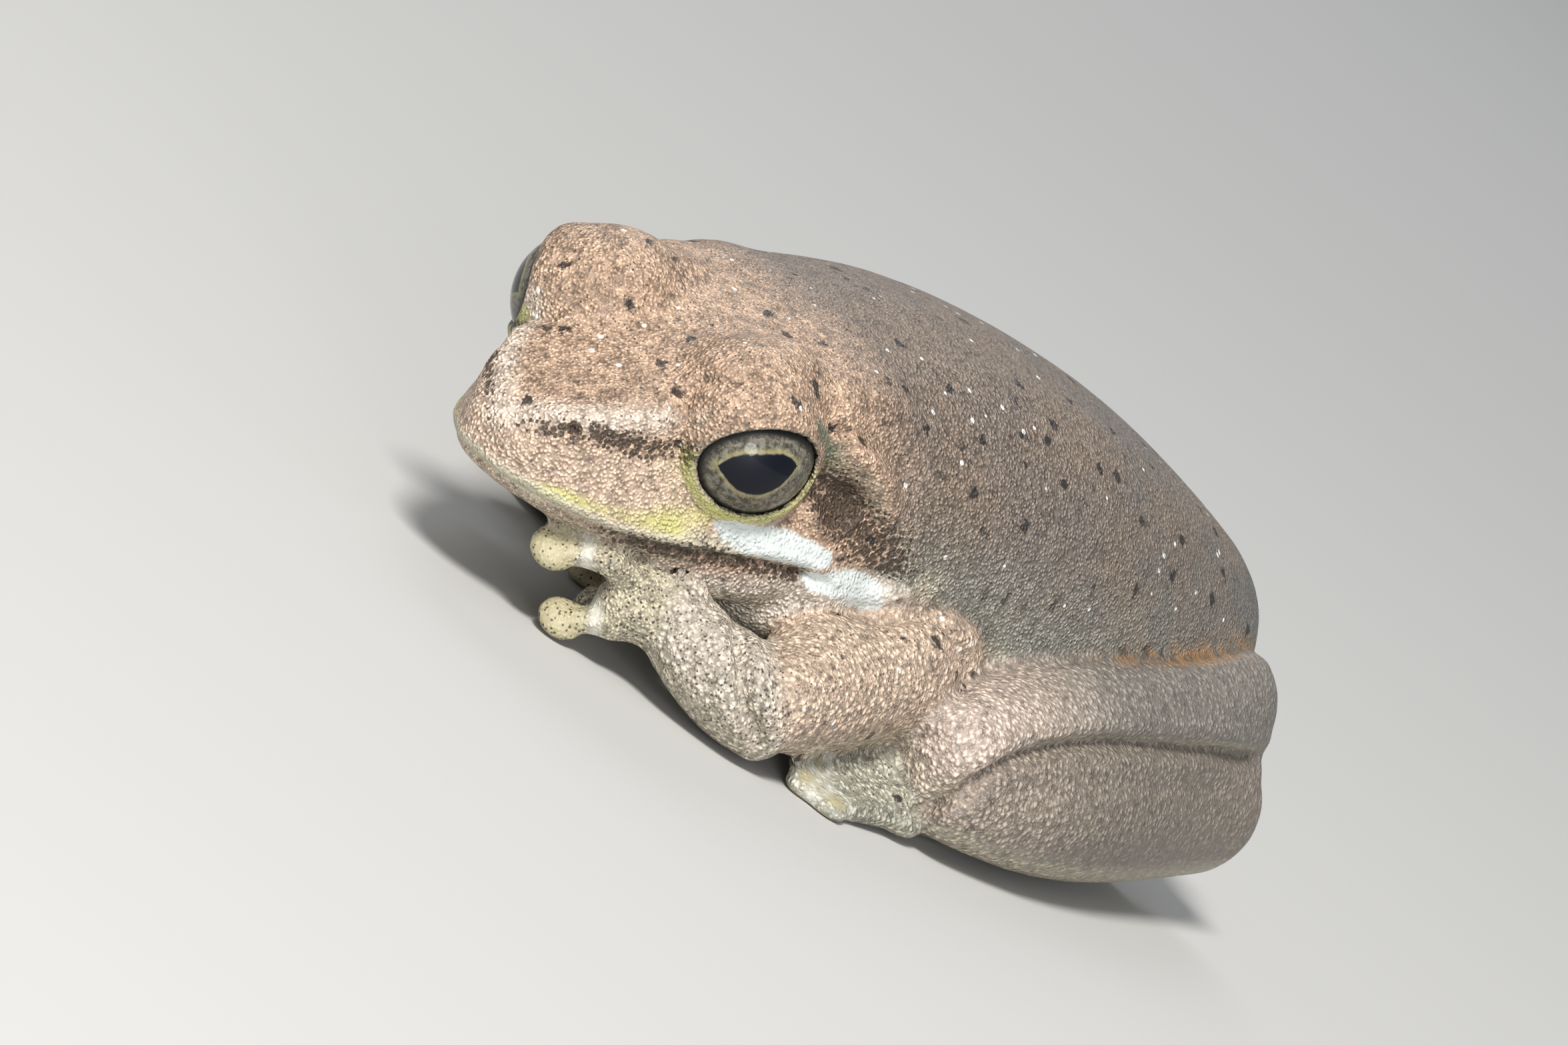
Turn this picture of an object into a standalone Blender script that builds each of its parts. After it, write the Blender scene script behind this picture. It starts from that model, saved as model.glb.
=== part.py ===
"""Eastern dwarf tree frog, a still, life-size model crouched with its limbs folded.

The frog faces -X, its left side is towards -Y, and it rests on z = 0.
Places are given in millimetres as forward, left and up of the frog.
"""

import math

import bmesh
import bpy
from mathutils import Matrix, Vector

# Driving dimensions, in metres and radians
MILLIMETRE = 0.001
BOX_MIDDLE = -0.715
GAP = 0.0003
SKIN_VOXEL = 0.0002
SKIN_SMOOTHING = 4
HEAD_TRIANGLES = 2700
TORSO_TRIANGLES = 1500
FLOOR_BOX = 0.06
CUT_TOLERANCE = 0.0000001
LEAST_KEPT = 1 / 3

# Corners round and along the pieces
HEAD_BALL_SEGMENTS = 32
EYE_SEGMENTS = 20
PIT_SEGMENTS = 10
BODY_STEPS = 3
OUTLINE_STEPS = 2
TUBE_SIDES = 6
TUBE_STEPS = 3
TRUNK_HALF_STEPS = 8
ARM_SIDES = 14
LEG_SIDES = 16
PALM_SIDES = 10
LIMB_STEPS = 2
DIGIT_SIDES = 6
DISC_SEGMENTS = (12, 6)

# Head, in millimetres: the midpoint between the eyes carries the head
HEAD_PLACE = (8.48, 0.38, 5.29)
HEAD_NOD = math.radians(22.3)
HEAD_TURN = math.radians(2.5)
NECK_FORWARD = -4.05

EYE_RADIUS = 1.45
EYE_GAP = 0.22
LID_THICKNESS = 0.20
LID_INWARD = 0.08
EYE_SPOT_LEFT = (-0.50, 2.38, -0.20)
EYE_SPOT_RIGHT = (0.0, -2.38, 0.05)
EYE_LOOK = (0.26, 0.90, 0.08)
EYE_OPENING = (1.30, 1.02)
EYE_OPENING_TILT = math.radians(9)
EYE_OPENING_START = 0.55
EYE_OPENING_DEPTH = 2.0
EYE_OPENING_FLARE = 1.12
EYE_OPENING_SEGMENTS = 24

EARDRUM_SPOT = (-2.66, 4.0, -1.09)
EARDRUM_RADIUS = 0.62
EARDRUM_RIM = 0.13
EARDRUM_CORNERS = 18
NOSTRIL_SPOT = (3.35, 1.4, -0.05)
NOSTRIL_RADIUS = 0.17
NOSTRIL_LENGTH = 1.3
MOUTH_GROOVE = 0.11
MOUTH_OUTWARD = 0.3
FOLD_RADIUS = 0.30
FOLD_POINTS = ((-1.4, 3.2, 0.55), (-2.6, 3.65, 0.15), (-3.6, 4.05, -0.55), (-4.4, 4.30, -1.60))
BROW_OFFSET = (-0.35, -0.40, 0.40)
BROW_RADII = (1.9, 1.6, 1.65)
THROAT_SPOT = (-3.4, 0.0, -3.7)
THROAT_RADII = (2.8, 4.4, 1.8)

# Sections of the head across its own length, from the snout back:
# forward, half width at the snout ridge, top, height of the ridge,
# half width at the lip, height of the lip, half width of the jaw, underside
HEAD_SECTIONS = (
    (4.30, 0.35, -0.80, -0.85, 0.50, -1.32, 0.40, -1.50),
    (4.08, 0.78, -0.48, -0.55, 0.88, -1.42, 0.75, -1.72),
    (3.40, 1.28, 0.10, 0.00, 1.62, -1.66, 1.45, -2.12),
    (2.30, 1.78, 0.48, 0.33, 2.38, -1.92, 2.15, -2.60),
    (1.20, 2.18, 0.80, 0.58, 3.00, -2.12, 2.75, -3.00),
    (0.00, 2.55, 1.12, 0.78, 3.52, -2.28, 3.30, -3.30),
    (-1.40, 2.90, 1.32, 0.85, 3.92, -2.42, 3.75, -3.50),
    (-2.80, 3.10, 1.28, 0.80, 4.18, -2.55, 4.00, -3.60),
    (-4.20, 3.25, 1.25, 0.85, 4.38, -2.40, 4.20, -3.60),
)

# Shape of one section of the head: how far across and how far down its points lie
CROWN_ACROSS = 0.55
CROWN_DROP = 0.15
CHEEK_ACROSS = 0.34
CHEEK_DROP = 0.42
LIP_ABOVE = 0.35
LIP_BELOW = 0.12
LIP_TUCK = 0.985
JAW_DROP = 0.42
CHIN_ACROSS = 0.60
CHIN_RISE = 0.10

# Sections of the trunk, from the nape to the vent:
# forward, up, lean back in degrees, half width, rise above and drop below
TRUNK_SECTIONS = (
    (3.0, 4.6, 12.0, 4.65, 3.90, 3.40),
    (1.0, 4.4, 5.0, 4.90, 4.50, 3.80),
    (-1.5, 4.3, 0.0, 5.10, 4.75, 4.40),
    (-4.0, 4.2, 0.0, 5.15, 4.75, 4.40),
    (-6.5, 4.2, -4.0, 5.00, 4.40, 4.35),
    (-9.0, 4.3, -10.0, 4.60, 3.75, 3.70),
    (-11.2, 4.5, -18.0, 3.85, 2.90, 3.00),
    (-12.8, 4.6, -28.0, 2.30, 1.75, 1.80),
)

BACK_ROUNDNESS = 0.85
BELLY_ROUNDNESS = 0.65
RISE_ROUNDNESS = 0.90

# Each limb piece: stations of forward, left, up, half width and half height
UPPER_ARM_LEFT = (
    (0.3, 4.5, 3.3, 1.15, 1.35),
    (1.8, 5.0, 2.8, 1.30, 1.40),
    (3.6, 5.5, 2.05, 1.20, 1.28),
    (5.9, 5.95, 1.42, 1.00, 1.05),
)
FOREARM_LEFT = (
    (6.1, 5.95, 1.16, 1.12, 1.10),
    (6.62, 5.45, 1.20, 1.18, 1.10),
    (7.25, 4.65, 1.30, 0.98, 0.90),
    (7.5, 3.95, 1.45, 0.74, 0.68),
)
UPPER_ARM_RIGHT = (
    (0.0, -4.4, 3.3, 1.15, 1.30),
    (0.3, -5.0, 2.8, 1.30, 1.35),
    (0.7, -5.6, 2.1, 1.20, 1.25),
    (0.9, -5.9, 1.5, 1.00, 1.10),
)
FOREARM_RIGHT = (
    (0.8, -5.9, 1.15, 1.00, 1.10),
    (1.2, -5.0, 1.05, 0.95, 0.92),
    (1.5, -4.1, 0.92, 0.78, 0.70),
    (1.7, -3.4, 0.78, 0.60, 0.52),
)
THIGH = (
    (-10.6, 3.9, 4.3, 1.65, 1.75),
    (-8.0, 4.7, 3.9, 1.75, 1.60),
    (-4.5, 5.5, 3.2, 1.60, 1.55),
    (-1.2, 6.3, 2.5, 1.35, 1.40),
    (0.7, 6.8, 2.1, 1.05, 1.15),
)
SHANK = (
    (0.4, 7.3, 1.2, 0.90, 0.90),
    (-1.8, 7.3, 1.5, 1.15, 1.25),
    (-4.8, 6.7, 1.8, 1.30, 1.55),
    (-8.2, 5.75, 2.05, 1.30, 1.60),
    (-11.2, 5.15, 2.45, 1.20, 1.50),
)
TARSUS_LEFT = (
    (-10.2, 4.5, 0.90, 0.70, 0.75),
    (-8.0, 4.7, 0.60, 0.65, 0.58),
    (-4.5, 5.3, 0.52, 0.80, 0.52),
    (-2.0, 5.9, 0.48, 0.95, 0.46),
)
WEB_LEFT = (
    (-2.4, 6.0, 0.40, 0.95, 0.36),
    (-0.2, 6.2, 0.42, 1.25, 0.38),
    (2.0, 6.5, 0.40, 1.15, 0.36),
)
TARSUS_RIGHT = (
    (-10.2, -4.5, 0.90, 0.70, 0.75),
    (-8.0, -4.8, 0.60, 0.65, 0.58),
    (-5.6, -5.2, 0.50, 0.80, 0.48),
    (-4.0, -5.2, 0.42, 0.95, 0.40),
)
WEB_RIGHT = (
    (-4.2, -5.1, 0.32, 0.90, 0.28),
    (-3.0, -4.9, 0.30, 1.10, 0.26),
    (-1.9, -4.6, 0.28, 1.05, 0.24),
)

# Digits: root, knuckle and tip in millimetres, the disc radius and how far the disc faces out
PALM_LEFT = ((7.5, 3.85, 1.42, 0.66, 0.54), (8.0, 3.3, 1.40, 0.85, 0.50), (8.35, 2.9, 1.25, 0.72, 0.38))
FINGERS_LEFT = (
    ((7.9, 3.6, 1.15), (8.6, 3.3, 0.90), (9.15, 2.62, 0.42), 0.50, 1.0),
    ((8.0, 3.3, 1.65), (9.2, 2.9, 2.05), (9.95, 2.03, 1.55), 0.50, 1.0),
    ((7.9, 2.8, 1.20), (7.7, 2.0, 0.75), (7.1, 1.35, 0.16), 0.42, 0.0),
    ((7.5, 2.7, 1.10), (6.8, 1.8, 0.65), (6.0, 1.1, 0.13), 0.36, 0.0),
)
PALM_RIGHT = ((1.7, -3.3, 0.75, 0.58, 0.46), (1.95, -2.7, 0.58, 0.82, 0.42), (2.15, -2.3, 0.46, 0.72, 0.34))
FINGERS_RIGHT = (
    ((1.8, -3.0, 0.50), (2.2, -3.3, 0.42), (2.6, -3.45, 0.17), 0.42, 0.0),
    ((2.1, -2.6, 0.50), (2.8, -2.1, 0.42), (3.44, -1.62, 0.18), 0.42, 0.0),
    ((2.2, -2.2, 0.50), (2.8, -1.2, 0.42), (3.3, -0.4, 0.17), 0.42, 0.0),
    ((2.0, -2.0, 0.50), (2.1, -0.8, 0.42), (2.2, 0.2, 0.13), 0.36, 0.0),
)
FINGER_RADIUS = 0.34

TOES_LEFT = (
    ((-1.4, 6.7, 0.42), (1.6, 7.1, 0.45), (4.2, 7.35, 0.16), 0.45, 0.0),
    ((-1.5, 6.4, 0.48), (1.8, 6.7, 0.60), (4.45, 6.75, 0.17), 0.45, 0.0),
    ((-1.6, 6.0, 0.60), (1.4, 6.2, 0.90), (3.9, 6.1, 0.42), 0.45, 0.0),
    ((-1.8, 5.6, 0.60), (0.6, 5.6, 0.95), (2.6, 5.4, 0.50), 0.40, 0.0),
    ((-2.0, 5.3, 0.40), (-0.4, 5.0, 0.60), (1.2, 4.7, 0.15), 0.36, 0.0),
)
TOES_RIGHT = (
    ((-3.6, -5.6, 0.38), (-1.9, -5.7, 0.34), (-0.4, -5.5, 0.15), 0.42, 0.0),
    ((-3.6, -5.3, 0.40), (-1.6, -5.0, 0.36), (0.1, -4.5, 0.16), 0.44, 0.0),
    ((-3.7, -5.0, 0.40), (-1.9, -4.3, 0.34), (-0.5, -3.6, 0.15), 0.42, 0.0),
    ((-3.8, -4.8, 0.38), (-2.6, -4.0, 0.33), (-1.5, -3.2, 0.13), 0.38, 0.0),
    ((-4.0, -4.6, 0.36), (-3.3, -3.9, 0.32), (-2.6, -3.1, 0.12), 0.34, 0.0),
)
TOE_RADIUS = 0.34

# Width and height of a digit along its length, as shares of its radius
DIGIT_ROOT = (1.15, 1.05)
DIGIT_FIRST = (0.90, 0.85)
DIGIT_KNUCKLE = (1.12, 1.02)
DIGIT_SECOND = (0.88, 0.80)
DIGIT_NECK = (0.78, 0.70)
DIGIT_END = (0.95, 0.65)
DISC_CLEAR = 1.05
DISC_HEIGHT = 0.5
DISC_FACING = (0.50, 0.40, 0.77)

# Rounded end of a limb: reach past the last station and width there, as shares
LIMB_TIP = ((0.42, 0.90), (0.80, 0.60))


def spot(forward, left, up):
    """A place of the frog, in metres in the model's frame."""
    return Vector((BOX_MIDDLE - forward, -left, up)) * MILLIMETRE


def head_spot(forward, left, up):
    """A place on the head, counted from the midpoint between the eyes."""
    ahead = forward * math.cos(HEAD_NOD) + up * math.sin(HEAD_NOD)
    above = up * math.cos(HEAD_NOD) - forward * math.sin(HEAD_NOD)
    turned = ahead * math.cos(HEAD_TURN) - left * math.sin(HEAD_TURN)
    aside = ahead * math.sin(HEAD_TURN) + left * math.cos(HEAD_TURN)
    return spot(HEAD_PLACE[0] + turned, HEAD_PLACE[1] + aside, HEAD_PLACE[2] + above)


def head_direction(forward, left, up):
    """A direction on the head, in the model's frame."""
    return (head_spot(forward, left, up) - head_spot(0, 0, 0)).normalized()


def make_material(name, colour, roughness):
    """A Principled material for one kind of surface."""
    material = bpy.data.materials.new(name)
    material.use_nodes = True
    shader = material.node_tree.nodes["Principled BSDF"]
    shader.inputs["Base Color"].default_value = (*colour, 1.0)
    shader.inputs["Roughness"].default_value = roughness
    shader.inputs["Metallic"].default_value = 0.0
    return material


def new_object(name, shape):
    """A new object from a bmesh, in the frog's collection."""
    mesh = bpy.data.meshes.new(name)
    shape.normal_update()
    bmesh.ops.recalc_face_normals(shape, faces=shape.faces)
    shape.to_mesh(mesh)
    shape.free()
    thing = bpy.data.objects.new(name, mesh)
    frog.objects.link(thing)
    return thing


def remove(thing):
    """Delete an object and its mesh."""
    mesh = thing.data
    bpy.data.objects.remove(thing)
    bpy.data.meshes.remove(mesh)


def settle(thing):
    """Apply an object's modifiers to its mesh."""
    bpy.context.view_layer.update()
    graph = bpy.context.evaluated_depsgraph_get()
    mesh = bpy.data.meshes.new_from_object(thing.evaluated_get(graph))
    old = thing.data
    thing.modifiers.clear()
    thing.data = mesh
    bpy.data.meshes.remove(old)


def keep_largest(thing):
    """Keep only the largest closed surface of a mesh."""
    shape = bmesh.new()
    shape.from_mesh(thing.data)
    shape.faces.ensure_lookup_table()
    seen = set()
    groups = []
    for face in shape.faces:
        if face in seen:
            continue
        group = []
        stack = [face]
        seen.add(face)
        while stack:
            current = stack.pop()
            group.append(current)
            for edge in current.edges:
                for other in edge.link_faces:
                    if other not in seen:
                        seen.add(other)
                        stack.append(other)
        groups.append(group)
    groups.sort(key=lambda group: sum(face.calc_area() for face in group), reverse=True)
    extra = [face for group in groups[1:] for face in group]
    bmesh.ops.delete(shape, geom=extra, context="FACES")
    shape.to_mesh(thing.data)
    shape.free()


def boolean(thing, other, operation, solver="EXACT"):
    """Join or cut an object with another and apply the result."""
    modifier = thing.modifiers.new("boolean", "BOOLEAN")
    modifier.operation = operation
    modifier.solver = solver
    modifier.object = other
    settle(thing)


def join_pieces(name, pieces):
    """One closed body from overlapping closed pieces."""
    group = bpy.data.collections.new(name + "_pieces")
    bpy.context.scene.collection.children.link(group)
    base = pieces[0]
    for piece in pieces[1:]:
        group.objects.link(piece)
        frog.objects.unlink(piece)
    modifier = base.modifiers.new("union", "BOOLEAN")
    modifier.operation = "UNION"
    modifier.operand_type = "COLLECTION"
    modifier.collection = group
    modifier.solver = "EXACT"
    settle(base)
    for piece in pieces[1:]:
        remove(piece)
    bpy.data.collections.remove(group)
    base.name = name
    keep_largest(base)
    return base


def smooth_point(before, start, end, after, part):
    """A point between start and end on a smooth curve through four points."""
    return 0.5 * (
        2 * start
        + (end - before) * part
        + (2 * before - 5 * start + 4 * end - after) * part ** 2
        + (3 * start - before - 3 * end + after) * part ** 3
    )


def smooth_row(rows, steps):
    """More rows between the given ones, each a list of vectors or numbers."""
    result = []
    last = len(rows) - 1
    for index in range(last):
        four = [rows[max(index - 1, 0)], rows[index], rows[index + 1], rows[min(index + 2, last)]]
        for step in range(steps):
            part = step / steps
            result.append([smooth_point(*values, part) for values in zip(*four)])
    result.append(list(rows[last]))
    return result


def loft(name, rings, first_tip, last_tip):
    """A closed surface over rings of points, closed by a point at each end."""
    shape = bmesh.new()
    rows = [[shape.verts.new(point) for point in points] for points in rings]
    count = len(rows[0])
    for near, far in zip(rows, rows[1:]):
        for index in range(count):
            following = (index + 1) % count
            shape.faces.new((near[index], near[following], far[following], far[index]))
    for row, tip in ((rows[0], first_tip), (rows[-1], last_tip)):
        centre = shape.verts.new(tip)
        for index in range(count):
            shape.faces.new((row[index], row[(index + 1) % count], centre))
    return new_object(name, shape)


def head_ring(section):
    """The outline across the head at one section."""
    forward, ridge, top, ridge_up, lip, lip_up, jaw, under = section
    half = [
        (0.0, top),
        (CROWN_ACROSS * ridge, top - CROWN_DROP * (top - ridge_up)),
        (ridge, ridge_up),
        (ridge + CHEEK_ACROSS * (lip - ridge), ridge_up + CHEEK_DROP * (lip_up - ridge_up)),
        (lip, lip_up + LIP_ABOVE),
        (LIP_TUCK * lip, lip_up - LIP_BELOW),
        (jaw, lip_up + JAW_DROP * (under - lip_up)),
        (CHIN_ACROSS * jaw, under + CHIN_RISE * (lip_up - under)),
        (0.0, under),
    ]
    return [head_spot(forward, left, up) for left, up in mirrored(half)]


def trunk_ring(section):
    """The outline across the trunk at one section."""
    forward, height, lean, half_width, rise, drop = section
    lean = math.radians(lean)
    half = []
    for step in range(TRUNK_HALF_STEPS + 1):
        angle = math.pi * (0.5 - step / TRUNK_HALF_STEPS)
        across = half_width * abs(math.cos(angle)) ** (BACK_ROUNDNESS if angle > 0 else BELLY_ROUNDNESS)
        reach = rise if angle > 0 else drop
        above = math.copysign(abs(math.sin(angle)) ** RISE_ROUNDNESS, angle) * reach
        half.append((across, above))
    half[0] = (0.0, half[0][1])
    half[-1] = (0.0, half[-1][1])
    return [
        spot(forward + above * math.sin(lean), left, height + above * math.cos(lean))
        for left, above in mirrored(half)
    ]


def mirrored(half):
    """A smooth closed outline from the left half of it."""
    points = smooth_row([(Vector((left, up)),) for left, up in half], OUTLINE_STEPS)
    left_side = [row[0] for row in points]
    right_side = [Vector((-point.x, point.y)) for point in reversed(left_side[1:-1])]
    return [tuple(point) for point in left_side + right_side]


def make_body():
    """The head and the trunk as one smooth skin."""
    rings = [head_ring(section) for section in HEAD_SECTIONS]
    rings += [trunk_ring(section) for section in TRUNK_SECTIONS]
    rings = smooth_row(rings, BODY_STEPS)
    first = sum(rings[0], Vector()) / len(rings[0])
    last = sum(rings[-1], Vector()) / len(rings[-1])
    pieces = [loft("body", rings, first, last)]
    lid = EYE_RADIUS + EYE_GAP + LID_THICKNESS
    for side, eye_spot in ((1, EYE_SPOT_LEFT), (-1, EYE_SPOT_RIGHT)):
        forward, left, up = eye_spot
        centre = head_spot(forward, left - side * LID_INWARD, up)
        pieces.append(ball("lid", centre, (lid, lid, lid), HEAD_BALL_SEGMENTS))
        ahead, outward, above = BROW_OFFSET
        centre = head_spot(forward + ahead, left + side * outward, up + above)
        pieces.append(ball("brow", centre, BROW_RADII, HEAD_BALL_SEGMENTS))
        fold = [head_spot(forward, side * left, up) for forward, left, up in FOLD_POINTS]
        pieces.append(tube("fold", fold, FOLD_RADIUS))
    pieces.append(ball("throat", head_spot(*THROAT_SPOT), THROAT_RADII, HEAD_BALL_SEGMENTS))
    return skin_over(pieces)


def ball(name, place, radii, segments):
    """A closed ellipsoid along the head's own axes, radii in millimetres."""
    shape = bmesh.new()
    bmesh.ops.create_uvsphere(shape, u_segments=segments, v_segments=segments // 2, radius=1.0)
    turn = Matrix((head_direction(1, 0, 0), head_direction(0, 1, 0), head_direction(0, 0, 1))).transposed()
    for vert in shape.verts:
        local = Vector(part * radius for part, radius in zip(vert.co, radii))
        vert.co = place + turn @ local * MILLIMETRE
    return new_object(name, shape)


def tube(name, points, radius):
    """A closed round tube through points, radius in millimetres, thin at the ends."""
    path = [row[0] for row in smooth_row([(point,) for point in points], TUBE_STEPS)]
    rings = []
    last = len(path) - 1
    for index, point in enumerate(path):
        along = (path[min(index + 1, last)] - path[max(index - 1, 0)]).normalized()
        across = along.cross(Vector((0, 0, 1))).normalized()
        above = across.cross(along)
        taper = math.sqrt(math.sin(math.pi * (index + 1) / (last + 2)))
        rings.append([
            point + (across * math.cos(turn) + above * math.sin(turn)) * radius * taper * MILLIMETRE
            for turn in (2 * math.pi * side / TUBE_SIDES for side in range(TUBE_SIDES))
        ])
    return loft(name, rings, path[0], path[-1])


def skin_over(pieces):
    """One smooth closed skin over overlapping pieces."""
    base = pieces[0]
    shape = bmesh.new()
    for piece in pieces:
        shape.from_mesh(piece.data)
    for piece in pieces[1:]:
        remove(piece)
    shape.to_mesh(base.data)
    shape.free()
    remesh = base.modifiers.new("skin", "REMESH")
    remesh.mode = "VOXEL"
    remesh.voxel_size = SKIN_VOXEL
    smooth = base.modifiers.new("smooth", "SMOOTH")
    smooth.factor = 0.5
    smooth.iterations = SKIN_SMOOTHING
    settle(base)
    keep_largest(base)
    return base


def thin_out(thing, triangles):
    """Lower a mesh to about the given number of triangles."""
    count = sum(len(polygon.vertices) - 2 for polygon in thing.data.polygons)
    modifier = thing.modifiers.new("fewer", "DECIMATE")
    modifier.ratio = min(1.0, triangles / count)
    modifier.use_collapse_triangulate = True
    settle(thing)


def halve(thing, name, point, outward):
    """The part of a mesh on the inner side of a plane, closed with a flat face."""
    shape = bmesh.new()
    shape.from_mesh(thing.data)
    geometry = shape.verts[:] + shape.edges[:] + shape.faces[:]
    bmesh.ops.bisect_plane(
        shape, geom=geometry, dist=CUT_TOLERANCE, plane_co=point, plane_no=outward, clear_outer=True
    )
    rim = [edge for edge in shape.edges if edge.is_boundary]
    bmesh.ops.edgeloop_fill(shape, edges=rim)
    return new_object(name, shape)


def limb(name, stations, sides, steps=LIMB_STEPS, side=1):
    """A closed limb piece, oval across, through stations given in millimetres."""
    rows = [(spot(f, side * l, u), wide, high) for f, l, u, wide, high in stations]
    rows = smooth_row(rows, steps)
    last = len(rows) - 1
    rings = []
    ends = []
    for index, (point, wide, high) in enumerate(rows):
        along = (rows[min(index + 1, last)][0] - rows[max(index - 1, 0)][0]).normalized()
        across = along.cross(Vector((0, 0, 1))).normalized()
        above = across.cross(along)

        def oval(centre, scale):
            return [
                centre
                + (across * math.cos(turn) * wide + above * math.sin(turn) * high) * scale * MILLIMETRE
                for turn in (2 * math.pi * corner / sides for corner in range(sides))
            ]

        if index == 0:
            reach = -along * min(wide, high) * MILLIMETRE
            rings += [oval(point + reach * part, width) for part, width in reversed(LIMB_TIP)]
            ends.append(point + reach)
        rings.append(oval(point, 1.0))
        if index == last:
            reach = along * min(wide, high) * MILLIMETRE
            rings += [oval(point + reach * part, width) for part, width in LIMB_TIP]
            ends.append(point + reach)
    return loft(name, rings, ends[0], ends[1])


def digit(root, knuckle, tip, radius, disc, facing):
    """A finger or toe with a swollen joint and a round flat disc at its tip."""
    start = Vector(root)
    bend = Vector(knuckle)
    end = Vector(tip)
    neck = end + (bend - end).normalized() * disc * DISC_CLEAR
    stations = []
    for place, share in (
        (start, DIGIT_ROOT),
        ((start + bend) / 2, DIGIT_FIRST),
        (bend, DIGIT_KNUCKLE),
        ((bend + neck) / 2, DIGIT_SECOND),
        (neck, DIGIT_NECK),
        ((neck + end) / 2, DIGIT_END),
    ):
        stations.append((*place, radius * share[0], radius * share[1]))
    bone = limb("bone", stations, DIGIT_SIDES, 1)
    shape = bmesh.new()
    around, down = DISC_SEGMENTS
    bmesh.ops.create_uvsphere(shape, u_segments=around, v_segments=down, radius=1.0)
    centre = spot(*end)
    outward = Vector((-DISC_FACING[0], -DISC_FACING[1], DISC_FACING[2])).normalized()
    face = Vector((0, 0, 1)).lerp(outward, facing)
    turn = face.to_track_quat("Z", "Y")
    for vert in shape.verts:
        flat = Vector((vert.co.x, vert.co.y, vert.co.z * DISC_HEIGHT)) * disc
        vert.co = centre + turn @ flat * MILLIMETRE
    return [bone, new_object("disc", shape)]


def make_cutter(thing):
    """A copy of a piece grown by the gap, to cut its neighbours clear of it."""
    cutter = bpy.data.objects.new(thing.name + "_cutter", thing.data.copy())
    cutters.objects.link(cutter)
    cutter.hide_render = True
    cutter.display_type = "WIRE"
    normals = [vert.normal.copy() for vert in cutter.data.vertices]
    for vert, normal in zip(cutter.data.vertices, normals):
        vert.co += normal * GAP
    return cutter


def carve(thing, cutter):
    """Cut a piece clear of a neighbour's grown copy."""
    whole = thing.data.copy()
    boolean(thing, cutter, "DIFFERENCE")
    if len(thing.data.polygons) < len(whole.polygons) * LEAST_KEPT:
        thing.data = whole
        boolean(thing, cutter, "DIFFERENCE", "MANIFOLD")
    keep_largest(thing)


def rest_on_floor(thing):
    """Cut the underside of a piece flat at the floor."""
    shape = bmesh.new()
    bmesh.ops.create_cube(shape, size=FLOOR_BOX)
    bmesh.ops.translate(shape, vec=(0, 0, -FLOOR_BOX / 2), verts=shape.verts)
    box = new_object("floor_cutter", shape)
    boolean(thing, box, "DIFFERENCE")
    remove(box)
    keep_largest(thing)


def make_head(head):
    """Sockets, lids, nostrils, eardrums and the mouth line on the head."""
    for side, eye_spot in ((1, EYE_SPOT_LEFT), (-1, EYE_SPOT_RIGHT)):
        centre = head_spot(*eye_spot)
        socket = EYE_RADIUS + EYE_GAP
        hollow = ball("socket", centre, (socket, socket, socket), EYE_SEGMENTS)
        boolean(head, hollow, "DIFFERENCE")
        remove(hollow)
        opening = eye_opening(centre, side)
        boolean(head, opening, "DIFFERENCE")
        remove(opening)
        forward, left, up = NOSTRIL_SPOT
        place = head.closest_point_on_mesh(head_spot(forward, side * left, up))[1]
        radii = (NOSTRIL_RADIUS * NOSTRIL_LENGTH, NOSTRIL_RADIUS, NOSTRIL_RADIUS)
        pit = ball("nostril", place, radii, PIT_SEGMENTS)
        boolean(head, pit, "DIFFERENCE")
        remove(pit)
        forward, left, up = EARDRUM_SPOT
        place, normal = head.closest_point_on_mesh(head_spot(forward, side * left, up))[1:3]
        rim = eardrum_rim(place, normal)
        boolean(head, rim, "UNION")
        remove(rim)
    groove = mouth_line(head)
    boolean(head, groove, "DIFFERENCE")
    remove(groove)
    keep_largest(head)


def eye_opening(centre, side):
    """An oval cutter for the opening between the lids."""
    look = head_direction(EYE_LOOK[0], side * EYE_LOOK[1], EYE_LOOK[2])
    ahead = head_direction(math.cos(EYE_OPENING_TILT), 0, -math.sin(EYE_OPENING_TILT))
    above = look.cross(ahead).normalized()
    ahead = above.cross(look).normalized()
    shape = bmesh.new()
    bmesh.ops.create_cone(
        shape, cap_ends=True, segments=EYE_OPENING_SEGMENTS, radius1=1.0, radius2=EYE_OPENING_FLARE,
        depth=EYE_OPENING_DEPTH
    )
    middle = EYE_OPENING_START + EYE_OPENING_DEPTH / 2
    bmesh.ops.translate(shape, vec=(0, 0, middle), verts=shape.verts)
    for vert in shape.verts:
        across = vert.co.x * EYE_OPENING[0]
        high = vert.co.y * EYE_OPENING[1]
        vert.co = centre + (ahead * across + above * high + look * vert.co.z) * MILLIMETRE
    return new_object("opening", shape)


def eardrum_rim(place, normal):
    """A low ring round the eardrum, half sunk in the skin."""
    turn = normal.to_track_quat("Z", "Y")
    shape = bmesh.new()
    rows = []
    for corner in range(EARDRUM_CORNERS):
        around = 2 * math.pi * corner / EARDRUM_CORNERS
        row = []
        for step in range(TUBE_SIDES):
            tilt = 2 * math.pi * step / TUBE_SIDES
            reach = EARDRUM_RADIUS + EARDRUM_RIM * math.cos(tilt)
            local = Vector((reach * math.cos(around), reach * math.sin(around), 0))
            local.z = EARDRUM_RIM * math.sin(tilt)
            row.append(shape.verts.new(place + turn @ local * MILLIMETRE))
        rows.append(row)
    for row, following in zip(rows, rows[1:] + rows[:1]):
        for step in range(TUBE_SIDES):
            after = (step + 1) % TUBE_SIDES
            shape.faces.new((row[step], following[step], following[after], row[after]))
    return new_object("rim", shape)


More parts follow.
